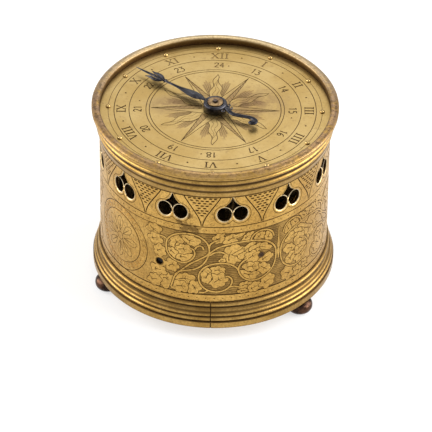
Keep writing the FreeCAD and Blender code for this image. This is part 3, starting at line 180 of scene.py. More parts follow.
@dataclass
class Shape:
    """A mesh in the making: its points, its faces, and named values at its points."""

    points: list[Triple]
    faces: list[Face]
    values: dict[str, list[float]]

    @classmethod
    def empty(cls, *names: str) -> "Shape":
        """A shape with nothing in it yet."""
        return cls([], [], {name: [] for name in names})

    def point(self, place: Triple, **values: float) -> int:
        """Adds a point.

        Args:
            place: Where it lies.
            values: Its named values; one that isn't given is 0.

        Returns:
            Its number.
        """
        self.points.append(place)
        for name, column in self.values.items():
            column.append(values.get(name, 0.0))
        return len(self.points) - 1

    def add(self, other: "Shape") -> None:
        """Takes in another shape.

        Args:
            other: A shape with the same named values.
        """
        start = len(self.points)
        self.points += other.points
        self.faces += [tuple(start + k for k in face) for face in other.faces]
        for name in self.values:
            self.values[name] += other.values.get(name, [0.0] * len(other.points))

    def moved(self, matrix: Matrix) -> "Shape":
        """A copy of the shape, moved and turned."""
        points = [tuple(matrix @ Vector(point)) for point in self.points]
        return Shape(points, list(self.faces), {name: list(v) for name, v in self.values.items()})

    def to_object(self, name: str, material: bpy.types.Material, crease: float = 35.0) -> bpy.types.Object:
        """Makes the mesh object.

        Args:
            name: The piece's name.
            material: Its finish.
            crease: Edges sharper than this many degrees stay sharp in the shading.

        Returns:
            The new object, at the origin, linked to the scene.
        """
        mesh = bpy.data.meshes.new(name)
        mesh.from_pydata([tuple(c * MM for c in point) for point in self.points], [], self.faces)
        for label, values in self.values.items():
            mesh.attributes.new(label, "FLOAT", "POINT").data.foreach_set("value", values)
        mesh.materials.append(material)
        mesh.validate()
        mesh.shade_smooth()
        mesh.set_sharp_from_angle(angle=math.radians(crease))
        made = bpy.data.objects.new(name, mesh)
        bpy.context.scene.collection.objects.link(made)
        return made


def lathe(profile: Sequence[Triple], angles: Sequence[float], closed: bool = True) -> Shape:
    """Turns a profile about the Z axis.

    Args:
        profile: Radius, height and tone of each point, so that the solid lies on the left of the line.
        angles: Mathematical angles of the columns, in degrees.
        closed: Whether the profile is a loop; an open one starts and ends on the axis.

    Returns:
        A closed shape with the value tone.
    """
    shape = Shape.empty("tone")
    rows: list[list[int]] = []
    for radius, z, tone in profile:
        columns = angles if radius > 0 else angles[:1]
        rows.append([shape.point((*polar(radius, angle), z), tone=tone) for angle in columns])
    count = len(angles)
    pairs = list(zip(rows, rows[1:]))
    if closed:
        pairs.append((rows[-1], rows[0]))
    for low, high in pairs:
        for k in range(count):
            after = (k + 1) % count
            corners = (low[k % len(low)], low[after % len(low)], high[after % len(high)], high[k % len(high)])
            face = tuple(dict.fromkeys(corners))
            if len(face) > 2:
                shape.faces.append(face)
    return shape


def even_angles(count: int) -> list[float]:
    """The angles of evenly spaced columns."""
    return [360 * k / count for k in range(count)]


def loft(sections: Sequence[Sequence[Triple]]) -> Shape:
    """Joins rings of points into a closed shape with flat ends.

    Args:
        sections: The rings, all of the same count of points.

    Returns:
        The shape, with the value tone.
    """
    shape = Shape.empty("tone")
    count = len(sections[0])
    for point in (point for section in sections for point in section):
        shape.point(tuple(point))
    for row in range(len(sections) - 1):
        for k in range(count):
            a, b = row * count + k, row * count + (k + 1) % count
            shape.faces.append((a, b, b + count, a + count))
    last = (len(sections) - 1) * count
    shape.faces.append(tuple(reversed(range(count))))
    shape.faces.append(tuple(range(last, last + count)))
    return shape


def tube(line: Sequence[Triple], radii: Sequence[float], sides: int = 12, squash: float = 1.0) -> Shape:
    """A round bar along a line in a level plane.

    Args:
        line: The middle line.
        radii: The radius at each of its points.
        sides: How many sides the bar has.
        squash: Its height as a share of its width.

    Returns:
        A closed shape.
    """
    sections = []
    for k, point in enumerate(line):
        ahead = Vector(line[min(k + 1, len(line) - 1)]) - Vector(line[max(k - 1, 0)])
        ahead.normalize()
        across = Vector((-ahead.y, ahead.x, 0.0)).normalized()
        up = ahead.cross(across)
        ring = []
        for side in range(sides):
            turn = 2 * math.pi * side / sides
            out = across * math.cos(turn) + up * math.sin(turn) * squash
            ring.append(tuple(Vector(point) + out * radii[k]))
        sections.append(ring)
    return loft(sections)


# Finishes

def put(tree: bpy.types.NodeTree, kind: str, output: int | str, inputs: Inputs, **settings: object) -> Socket:
    """Adds a node to a tree.

    Args:
        tree: The tree.
        kind: The node's type.
        output: The output that is wanted.
        inputs: A socket, number or colour for each input that isn't left alone.
        settings: Its properties.

    Returns:
        The socket of the output.
    """
    made = tree.nodes.new(kind)
    for name, value in settings.items():
        setattr(made, name, value)
    for name, source in inputs.items():
        target = made.inputs[name]
        if isinstance(source, Socket):
            tree.links.new(source, target)
        else:
            target.default_value = (*source, 1.0) if target.type == "RGBA" else source
    return made.outputs[output]


@dataclass(frozen=True)
class Blotches:
    """A pattern of soft blotches: their size, their count of finer layers and how strong these are.

    Start and full are the levels of the noise at which a blotch begins and is full, at its strength.
    """

    size: float
    layers: int
    rough: float
    start: float
    full: float
    strength: float = 1.0


class Graph:
    """The node tree of one metal, with short ways to add nodes to it."""

    def __init__(self, name: str) -> None:
        """Starts a material with a metallic shader and object coordinates.

        Args:
            name: The material's name.
        """
        self.material = bpy.data.materials.new(name)
        self.material.use_nodes = True
        self.tree = self.material.node_tree
        self.tree.nodes.clear()
        self.shader = self.tree.nodes.new("ShaderNodeBsdfPrincipled")
        self.shader.inputs["Metallic"].default_value = 1.0
        output = self.tree.nodes.new("ShaderNodeOutputMaterial")
        self.tree.links.new(self.shader.outputs["BSDF"], output.inputs["Surface"])
        self.place = self.put("TexCoord", "Object", {})

    def put(self, kind: str, output: int | str, inputs: Inputs, **settings: object) -> Socket:
        """Adds a node by its type, without the words that all shader nodes begin with."""
        return put(self.tree, "ShaderNode" + kind, output, inputs, **settings)

    def noise(self, size: float, layers: int, rough: float) -> Socket:
        """A noise with blotches of about size millimetres, by the count and the strength of its finer layers."""
        return self.put("TexNoise", "Fac", {"Vector": self.place, "Scale": 1 / (size * MM), "Detail": layers,
                                            "Roughness": rough})

    def blotches(self, kind: Blotches) -> Socket:
        """A pattern of blotches."""
        return self.between(self.noise(kind.size, kind.layers, kind.rough), kind.start, kind.full, kind.strength)

    def between(self, value: Socket, low: float, high: float, top: float = 1.0) -> Socket:
        """A soft step of a value from nothing at low to top at high."""
        return self.put("MapRange", "Result", {"Value": value, "From Min": low, "From Max": high, "To Max": top},
                        interpolation_type="SMOOTHSTEP")

    def math(self, operation: str, first: Socket | float, second: Socket | float = 0.0) -> Socket:
        """One step of arithmetic on two values."""
        return self.put("Math", 0, {0: first, 1: second}, operation=operation)

    def times(self, first: Socket, second: Socket | float) -> Socket:
        """The product of two values."""
        return self.math("MULTIPLY", first, second)

    def mix(self, share: Socket, first: Socket | Colour, second: Socket | Colour) -> Socket:
        """A colour between two colours, by the share of the second."""
        return self.put("Mix", 2, {0: share, 6: first, 7: second}, data_type="RGBA")

    def value(self, name: str) -> Socket:
        """A named value of the mesh."""
        return self.put("Attribute", "Fac", {}, attribute_name=name)

    def axis(self, name: str) -> Socket:
        """Where a point lies along one axis, in millimetres."""
        return self.times(self.put("SeparateXYZ", name, {0: self.place}), 1 / MM)

    def ball(self, place: Triple, reach: Triple) -> Socket:
        """A value that falls from 1 at a place to nothing at its reach along each axis, in millimetres."""
        moved = self.put("Mapping", "Vector", {"Vector": self.place, "Location": tuple(c * MM for c in place),
                                               "Scale": tuple(c * MM for c in reach)}, vector_type="TEXTURE")
        return self.put("TexGradient", "Fac", {"Vector": moved}, gradient_type="SPHERICAL")

    def scaled(self, value: Socket, factor: float, start: float) -> Socket:
        """A value times a factor, on top of a start."""
        return self.math("ADD", self.times(value, factor), start)

    def bump(self, height: Socket, strength: float, distance: float) -> None:
        """Roughens the surface by a height map, with the distance in millimetres."""
        normal = self.put("Bump", "Normal", {"Strength": strength, "Distance": distance * MM, "Height": height})
        self.tree.links.new(normal, self.shader.inputs["Normal"])

    def finish(self, colour: Socket, roughness: Socket) -> bpy.types.Material:
        """Links the main sockets of the shader.

        Args:
            colour: The socket of the colour.
            roughness: The socket of the roughness.

        Returns:
            The finished material.
        """
        self.tree.links.new(colour, self.shader.inputs["Base Color"])
        self.tree.links.new(roughness, self.shader.inputs["Roughness"])
        return self.material


@dataclass(frozen=True)
class Gilding:
    """Fire-gilt brass: warm and uneven, rubbed to the copper where hands held it, dark in the cuts with dirt and
    painted shade, with painted highlights on the edges of holes.
    """

    name: str
    pale: Colour = (0.62, 0.380, 0.106)
    deep: Colour = (0.50, 0.290, 0.072)
    brown: Colour = (0.125, 0.070, 0.021)
    copper: Colour = (0.255, 0.160, 0.100)
    soot: Colour = (0.034, 0.016, 0.006)
    bright: Colour = (0.74, 0.62, 0.40)
    patch: float = 14.0
    stain: float = 0.35
    roughness: float = 0.36
    spots: tuple[tuple[Triple, float], ...] = ()
    hatch_pitch: float = 0.95
    hatch_middle: float = 5.5
    hatch_kept: Pair = (18.0, 35.0)
    uneven: Blotches = Blotches(6.0, 5, 0.65, 0.30, 0.68, 0.60)
    rubbed: Blotches = Blotches(4.5, 6, 0.72, 0.36, 0.56, 0.9)
    bruised: Blotches = Blotches(1.6, 6, 0.78, 0.50, 0.62, 0.85)
    dirt: Blotches = Blotches(1.6, 3, 0.55, 0.05, 0.36)
    grain: Blotches = Blotches(1.0, 6, 0.8, 0.42, 0.68, 0.62)

    def make(self) -> bpy.types.Material:
        """Builds the material, which reads the values tone, ground, rim and wear of a mesh that has them.

        Returns:
            The material.
        """
        g = Graph(self.name)
        colour = g.mix(g.blotches(Blotches(self.patch, 4, 0.55, 0.34, 0.66)), self.deep, self.pale)
        colour = g.mix(g.blotches(Blotches(self.patch / 3, 6, 0.68, 0.56, 0.74, self.stain)), colour, self.brown)
        for place, reach in self.spots:
            ragged = g.times(g.noise(1.7, 6, 0.8), 2.2)
            cloud = g.math("ADD", g.ball(place, (reach, reach, reach)), ragged)
            colour = g.mix(g.between(cloud, 1.25, 1.75, 0.85), colour, self.brown)
        # The ground of the frieze is hatched in level lines, which fade toward the left and right of the drum: partly
        # rubbed by hands, partly painted sheen where the wall turns from view.
        ground = g.value("ground")
        turns = g.times(g.axis("Z"), 2 * math.pi / self.hatch_pitch)
        wander = g.times(g.noise(3.0, 2, 0.55), 9.0)
        lines = g.between(g.math("SINE", g.math("ADD", turns, wander)), -0.6, 0.7)
        tint = g.times(g.scaled(lines, 0.42, 0.66), g.math("ADD", g.blotches(self.uneven), 0.60))
        sideways = g.math("ABSOLUTE", g.math("SUBTRACT", g.axis("X"), self.hatch_middle))
        kept = g.math("SUBTRACT", 1.0, g.between(sideways, *self.hatch_kept, 0.9))
        colour = g.mix(g.times(g.times(ground, tint), kept), colour, self.brown)
        # The rim is rubbed to the copper and bruised, and the value rim paints highlights on the edges of the holes
        # and on the back of the moulding's rim.
        wear, tone = g.value("wear"), g.value("tone")
        colour = g.mix(g.times(wear, g.blotches(self.rubbed)), colour, self.copper)
        colour = g.mix(g.times(wear, g.blotches(self.bruised)), colour, self.soot)
        colour = g.mix(g.times(g.value("rim"), 0.85), colour, self.bright)
        # Dirt and painted shade darken the cuts, hole walls, grooves and hidden faces by the value tone, and a fine
        # grain lies over all.
        colour = g.mix(g.times(tone, g.blotches(self.dirt)), colour, self.soot)
        colour = g.mix(g.blotches(self.grain), colour, self.brown)
        scuffs = g.scaled(g.noise(1.1, 5, 0.7), 0.22, self.roughness - 0.11)
        grooves = g.times(g.times(lines, ground), -0.6)
        g.bump(g.math("ADD", g.noise(0.7, 5, 0.6), grooves), 0.35, 0.06)
        return g.finish(colour, g.math("ADD", scuffs, g.times(tone, 0.3)))


@dataclass(frozen=True)
class DialGilding:
    """The dial's paler gilding, drawn with a fine grain and stained on both sides of the hub."""

    name: str
    pale: Colour = (0.425, 0.304, 0.122)
    deep: Colour = (0.358, 0.240, 0.080)
    brown: Colour = (0.165, 0.095, 0.045)
    soot: Colour = (0.042, 0.021, 0.008)
    patches: Blotches = Blotches(18.0, 4, 0.55, 0.32, 0.68)
    clouds: Blotches = Blotches(4.5, 5, 0.6, 0.26, 0.60)
    specks: Blotches = Blotches(1.6, 6, 0.75, 0.52, 0.74, 0.55)
    rubbed: Pair = (16.0, 44.0)
    stains: tuple[tuple[Triple, Triple, float], ...] = (
        ((15.5, 5.5, 82.0), (20.0, 14.0, 20.0), 0.9), ((-18.0, 2.5, 82.0), (13.0, 9.0, 20.0), 1.0),
    )

    def make(self) -> bpy.types.Material:
        """Builds the material, which reads the values tone and ground of the dial's mesh.

        Returns:
            The material.
        """
        g = Graph(self.name)
        colour = g.mix(g.blotches(self.patches), self.deep, self.pale)
        for place, reach, share in self.stains:
            cloud = g.times(g.ball(place, reach), g.blotches(self.clouds))
            colour = g.mix(g.times(cloud, share), colour, self.brown)
        colour = g.mix(g.blotches(self.specks), colour, self.brown)
        colour = g.mix(g.times(g.value("ground"), 0.60), colour, self.brown)
        kept = g.math("SUBTRACT", 0.95, g.between(g.axis("Y"), *self.rubbed, 0.45))
        # The engraved lines are darkened by tone, as patina and painted shade in the cuts.
        colour = g.mix(g.times(g.value("tone"), kept), colour, self.soot)
        g.bump(g.noise(0.8, 5, 0.6), 0.3, 0.05)
        return g.finish(colour, g.scaled(g.noise(1.3, 5, 0.7), 0.24, 0.28))


@dataclass(frozen=True)
class Metal:
    """A plain metal of one colour family, mottled and scuffed."""

    name: str
    light: Colour
    dark: Colour
    roughness: float
    patch: float
    scuff: Colour
    scuffs: float

    def make(self) -> bpy.types.Material:
        """Builds the material, which reads the value tone of a mesh that has it.

        Returns:
            The material.
        """
        g = Graph(self.name)
        colour = g.mix(g.blotches(Blotches(self.patch, 5, 0.6, 0.35, 0.66)), self.dark, self.light)
        colour = g.mix(g.blotches(Blotches(self.patch / 4, 6, 0.72, 0.56, 0.70, self.scuffs)), colour, self.scuff)
        # The value tone darkens the colour as painted shade: on the feet's underside and neck, in the hub's recess and
        # round the washer's bore.
        colour = g.mix(g.times(g.value("tone"), 0.85), colour, tuple(c * 0.2 for c in self.dark))
        g.bump(g.noise(self.patch / 7, 4, 0.6), 0.3, 0.05)
        return g.finish(colour, g.scaled(g.noise(self.patch / 5, 5, 0.7), 0.26, self.roughness - 0.13))


CASE_GILDING = Gilding("case_gilding", spots=(
    ((-10.1, -47.7, 55.6), 4.6), ((-6.6, -48.3, 55.0), 3.2), ((-8.9, -47.9, 61.6), 2.3), ((-13.2, -46.9, 58.0), 2.0),
))
MOULDING_GILDING = Gilding("moulding_gilding", pale=(0.46, 0.285, 0.085), deep=(0.34, 0.200, 0.050), stain=0.45,
                           patch=9.0, roughness=0.33)
DIAL_GILDING = DialGilding("dial_gilding")
PIN_GILDING = Gilding("pin_gilding", pale=(0.50, 0.35, 0.14), deep=(0.38, 0.25, 0.09), stain=0.25, patch=3.0,
                      roughness=0.26)
BLUED_STEEL = Metal("blued_steel", (0.052, 0.051, 0.058), (0.013, 0.013, 0.016), 0.36, 5.0, (0.16, 0.13, 0.11), 0.45)
FOOT_BRONZE = Metal("foot_bronze", (0.105, 0.052, 0.030), (0.022, 0.013, 0.010), 0.27, 4.0, (0.20, 0.11, 0.06), 0.5)
WASHER_BRASS = Metal("washer_brass", (0.32, 0.215, 0.10), (0.12, 0.068, 0.036), 0.36, 2.2, (0.07, 0.035, 0.022), 0.8)
ARBOR_STEEL = Metal("arbor_steel", (0.20, 0.18, 0.16), (0.08, 0.07, 0.06), 0.36, 4.0, (0.11, 0.06, 0.04), 0.5)
HAND_PIN_STEEL = Metal("hand_pin_steel", (0.11, 0.085, 0.075), (0.04, 0.03, 0.026), 0.38, 2.0, (0.16, 0.10, 0.07), 0.5)
RIVET_STEEL = Metal("rivet_steel", (0.105, 0.062, 0.035), (0.045, 0.026, 0.016), 0.55, 1.2, (0.20, 0.12, 0.05), 0.6)
# The catch and the bell are kept near black, as painted shade inside the drum behind its holes.
CATCH_STEEL = Metal("catch_steel", (0.030, 0.026, 0.024), (0.010, 0.009, 0.008), 0.5, 2.0, (0.03, 0.02, 0.015), 0.5)
BELL_METAL = Metal("bell_metal", (0.060, 0.045, 0.028), (0.024, 0.018, 0.011), 0.40, 9.0, (0.05, 0.035, 0.02), 0.4)
TRAIN_BRASS = Metal("train_brass", (0.50, 0.35, 0.14), (0.34, 0.22, 0.075), 0.35, 7.0, (0.15, 0.085, 0.04), 0.4)


# Engraving

LEVEL_GAP = 0.01    # Depths closer than this are one level.
LIP_DROP = 0.05     # How far below a hole's edge its painted shade begins.
LIP_LEVEL = 9.0     # The level that stands for a hole's lip.
BRIGHT_FALL = 0.1   # A bevel that falls further than this gets a painted highlight on its edge.
SEAM_GAP = 1e-4     # A spot closer than this to the end of a joined sheet lies on it.
JOIN_GAP = 1e-5     # Spots closer than this are one spot.


class Cut(Enum):
    """What the engraver did to a patch. Among patches of equal rank, the one that was cut last shows."""

    PLAIN = (0, 0.0, 0.0, 0.0)
    GROUND = (1, 0.10, 1.0, 0.0)
    LEAF = (2, -0.001, 0.0, 0.0)
    SHADE = (2, 0.05, 0.8, 0.0)
    LINE = (2, 0.14, 0.3, 1.0)
    BEVEL = (3, 0.001, 0.0, 0.0)
    HOLE = (4, 0.0, 0.0, 0.0)

    def __init__(self, rank: int, depth: float, ground: float, tone: float) -> None:
        """Names the values of a kind of cut.

        Args:
            rank: Which patch wins where two overlap.
            depth: How far below the face the patch lies.
            ground: How dark the finish makes it as a ground.
            tone: How much soot and painted shade lie in it.
        """
        self.rank, self.depth, self.ground, self.tone = rank, depth, ground, tone


@dataclass
class EngravedSheet:
    """A sheet of metal, engraved and pierced in the flat and then laid on its piece.

    Args:
        border: The sheet's outline, counter-clockwise.
        seam: The width of a sheet whose ends are joined, or 0.
        thickness: How thick the metal is.
        lay: Gives the place of a point of the sheet at a depth below its face.
    """

    border: list[Pair]
    seam: float
    thickness: float
    lay: Callable[[float, float, float], Triple]

    def __post_init__(self) -> None:
        """Starts with a bare sheet."""
        self.patches: list[tuple[list[Pair], Cut, float]] = []
        self.marks: list[Pair] = []

    def cut(self, kind: Cut, *outlines: Sequence[Pair]) -> None:
        """Cuts patches of one kind."""
        self.patches += [(counter_clockwise(outline), kind, 0.0) for outline in outlines]

    def line(self, points: Sequence[Pair], half_widths: float | Sequence[float]) -> None:
        """Cuts a line by half of its width, all along it or at each point."""
        self.cut(Cut.LINE, *ribbon(points, half_widths))

    def pierce(self, outline: Sequence[Pair], bevel: float, fall: float, span: Pair = (-math.inf, math.inf)) -> None:
        """Cuts a hole right through.

        Args:
            outline: The hole's outline.
            bevel: How wide its bevelled edge is.
            fall: How far the bevel falls.
            span: How far to the left and right the bevel may reach.
        """
        facing = counter_clockwise(outline)
        self.patches.append((facing, Cut.HOLE, fall))
        edge = [(min(max(x, span[0]), span[1]), y) for x, y in grown(facing, bevel)]
        self.patches.append((edge, Cut.BEVEL, 0.0))

    def build(self) -> Shape:
        """Makes the closed shape of the engraved sheet.

        Returns:
            The shape, with the values tone, ground and rim.
        """
        coords, kinds, falls, spots = self._divide()
        same = self._join_ends(spots)
        shape = Shape.empty("tone", "ground", "rim")
        hole_fall: dict[int, float] = {}
        for face, kind, fall in zip(coords, kinds, falls):
            if kind is Cut.HOLE:
                for k in face:
                    hole_fall[same[k]] = max(fall, hole_fall.get(same[k], 0.0))
        made: dict[tuple[int, float], int] = {}

        def corner(spot: int, kind: Cut) -> int:
            """The shape's point over a spot of the sheet.

            Args:
                spot: The spot.
                kind: The kind of cut whose depth it lies at.

            Returns:
                The number of the point.
            """
            spot = same[spot]
            fall = hole_fall.get(spot, 0.0)
            flat = abs(kind.depth) < LEVEL_GAP
            key = (spot, 0.0 if flat else kind.depth)
            if key not in made:
                place = self.lay(*spots[spot], fall if flat else kind.depth)
                # A deep bevel's points get the value rim, a painted highlight.
                made[key] = shape.point(place, ground=kind.ground, tone=kind.tone, rim=float(fall > BRIGHT_FALL))
            return made[key]

        def ladder(spot: int, shallow: float, deep: float) -> list[int]:
            """The points over a spot between two depths, from the upper to the lower one."""
            steps = sorted({kind.depth for kind in Cut if shallow + LEVEL_GAP < kind.depth < deep - LEVEL_GAP})
            return [made[same[spot], step] for step in steps if (same[spot], step) in made]

        def lip(spot: int) -> int:
            """The shape's point on the wall of a hole, just below its edge, where the painted shade begins.

            Args:
                spot: The spot at the edge.

            Returns:
                The number of the point.
            """
            spot = same[spot]
            key = (spot, LIP_LEVEL)
            if key not in made:
                made[key] = shape.point(self.lay(*spots[spot], hole_fall.get(spot, 0.0) + LIP_DROP), tone=1.0)
            return made[key]

        sides: dict[tuple[int, int], Cut] = {}
        for face, kind in zip(coords, kinds):
            for a, b in zip(face, (*face[1:], face[0])):
                sides[same[a], same[b]] = kind
            if kind is not Cut.HOLE:
                shape.faces.append(tuple(corner(k, kind) for k in face))
        back, back_at = self._back(sides, spots, shape)
        for (a, b), kind in sides.items():
            other = sides.get((b, a))
            if kind is Cut.HOLE or other is kind:
                continue
            low = back_at.get(self._key(spots[a])), back_at.get(self._key(spots[b]))
            if other is None:
                shape.faces.append((corner(b, kind), corner(a, kind), *low))
            elif other is Cut.HOLE:
                shape.faces.append((corner(b, kind), corner(a, kind), lip(a), lip(b)))
                shape.faces.append((lip(b), lip(a), *low))
            elif other.depth - kind.depth > LEVEL_GAP:
                down = corner(a, kind), *ladder(a, kind.depth, other.depth), corner(a, other)
                rise = corner(b, other), *ladder(b, kind.depth, other.depth)[::-1], corner(b, kind)
                shape.faces.append((rise[-1], *down, *rise[:-1]))
        shape.faces += back
        return shape

    def _divide(self) -> tuple[list[Face], list[Cut], list[float], list[Pair]]:
        """Divides the face of the sheet into triangles, each of one kind of cut.

        Returns:
            The triangles, the kind of each, the fall of each one's bevel, and the spots that they join.
        """
        points = [Vector(spot) for spot in self.border]
        count = len(points)
        edges = [(k, (k + 1) % count) for k in range(count)]
        points += [Vector(mark) for mark in self.marks]
        outlines = []
        for outline, _, _ in self.patches:
            outlines.append(list(range(len(points), len(points) + len(outline))))
            points += [Vector(spot) for spot in outline]
        result = delaunay_2d_cdt(points, edges, outlines, 0, JOIN_GAP)
        kinds, falls = [], []
        for owners in result[5]:
            best, fall = Cut.PLAIN, 0.0
            for owner in sorted(owners):
                _, kind, owner_fall = self.patches[owner]
                if kind.rank >= best.rank:
                    best, fall = kind, owner_fall
            kinds.append(best)
            falls.append(fall)
        return [tuple(face) for face in result[2]], kinds, falls, [tuple(spot) for spot in result[0]]

    def _join_ends(self, spots: list[Pair]) -> list[int]:
        """Makes both ends of a joined sheet share their spots.

        Args:
            spots: The spots of the sheet.

        Returns:
            For each spot the one that stands for it.
        """
        if not self.seam:
            return list(range(len(spots)))
        first = {round(y, 3): k for k, (x, y) in enumerate(spots) if abs(x) < SEAM_GAP}
        return [first.get(round(y, 3), k) if abs(x - self.seam) < SEAM_GAP else k for k, (x, y) in enumerate(spots)]

    def _key(self, spot: Pair) -> Pair:
        """The name of a spot, the same at both ends of a joined sheet."""
        x = 0.0 if self.seam and abs(spot[0] - self.seam) < SEAM_GAP else spot[0]
        return round(x, 3) + 0.0, round(spot[1], 3) + 0.0

    def _back(self, sides: dict[tuple[int, int], Cut], spots: list[Pair],
              shape: Shape) -> tuple[list[Face], dict[Pair, int]]:
        """Makes the plain back of the sheet, which meets the face at its border and round its holes.

        Args:
            sides: The kind of cut to the left of each edge of the face.
            spots: The spots of the face.
            shape: The shape that takes in the points of the back.

        Returns:
            The faces of the back, and its point behind each spot.
        """
        ids: dict[int, int] = {}
        points = [Vector(spot) for spot in self.border]
        edges = [(k, (k + 1) % len(points)) for k in range(len(points))]
        for (a, b), kind in sides.items():
            if kind is not Cut.HOLE and sides.get((b, a)) is Cut.HOLE:
                for k in (a, b):
                    if k not in ids:
                        ids[k] = len(points)
                        points.append(Vector(spots[k]))
                edges.append((ids[a], ids[b]))
        if self.seam:
            points += [Vector(mark) for mark in self.marks[::2]]
        result = delaunay_2d_cdt(points, edges, [], 0, JOIN_GAP)
        holes = [outline for outline, kind, _ in self.patches if kind is Cut.HOLE]
        boxes = [(min(p[0] for p in h), max(p[0] for p in h), h) for h in holes]
        at: dict[Pair, int] = {}
        faces = []

        def corner(spot: Pair) -> int:
            """The shape's point behind a spot of the sheet.

            Args:
                spot: The spot.

            Returns:
                The number of the point.
            """
            key = self._key(spot)
            if key not in at:
                # The back is dark by tone, as painted shade inside the piece.
                at[key] = shape.point(self.lay(*spot, self.thickness), tone=1.0)
            return at[key]

        for face in result[2]:
            corners = [tuple(result[0][k]) for k in face]
            x = sum(c[0] for c in corners) / len(corners)
            y = sum(c[1] for c in corners) / len(corners)
            if not any(low < x < high and inside((x, y), hole) for low, high, hole in boxes):
                faces.append(tuple(corner(spot) for spot in reversed(corners)))
        return faces, at


# Case

# Half of the spire above a pair of sound holes, up its lower edge and its upper one, from the holes' middle.
SPIRE_FOOT = ((0.0, 0.95), (0.55, 2.15), (1.6, 3.25), (2.8, 3.72), (4.0, 3.8))
SPIRE_HEAD = ((4.0, 3.8), (2.35, 4.75), (1.2, 6.0), (0.45, 7.5), (0.0, 9.0))
# The side of a hanging triangle between two groups of sound holes: distance from its middle, and height.
HANGING_SIDE = ((7.6, 72.2), (7.2, 71.0), (5.0, 67.5), (3.1, 64.4), (1.6, 61.7), (0.55, 58.9), (0.32, 57.3))
# The side of the upright stem between two panels of the frieze: half width, and height.
UPRIGHT_STEM = ((0.2, 35.0), (0.4, 37.0), (0.75, 38.6), (0.4, 40.4), (0.65, 42.0), (0.35, 46.0), (0.2, 51.6))
# The stems of one panel of the frieze, as the points of their middle lines from the medallion to the upright stem,
# in tenths of a millimetre.
STEMS: tuple[Tenths, ...] = (
    ((294, 298), (319, 324), (356, 364), (392, 391), (425, 415), (436, 429)),
    ((316, 321), (346, 331), (382, 344), (412, 369), (432, 405), (440, 445), (431, 481), (406, 509), (369, 523),
     (325, 521), (284, 503), (259, 473), (254, 435), (264, 399), (292, 375), (329, 369), (360, 385), (378, 415),
     (375, 441), (360, 451)),
    ((566, 321), (561, 339), (546, 358), (518, 374), (482, 378), (448, 371), (420, 354), (401, 328), (396, 296),
     (405, 264), (428, 239), (459, 228), (490, 229), (519, 244), (535, 268), (535, 292), (520, 307), (506, 304)),
    ((439, 428), (472, 458), (512, 473), (562, 482), (612, 482), (657, 473), (697, 453), (725, 421), (733, 385),
     (730, 345), (715, 309), (685, 282), (645, 269), (606, 276), (579, 298), (565, 328), (566, 355), (582, 378),
     (600, 388)),
    ((379, 446), (387, 460), (399, 467), (411, 461), (416, 448)),
    ((439, 458), (445, 479), (465, 495), (485, 498)),
    ((440, 418), (462, 434), (486, 438), (506, 428)),
    ((526, 252), (549, 252), (572, 244)),
    ((436, 234), (419, 222), (400, 222)),
    ((306, 309), (292, 288), (284, 259), (276, 229)),
    ((615, 484), (626, 508), (655, 523), (688, 520), (712, 501), (722, 475)),
    ((259, 473), (241, 482), (221, 481)),
)
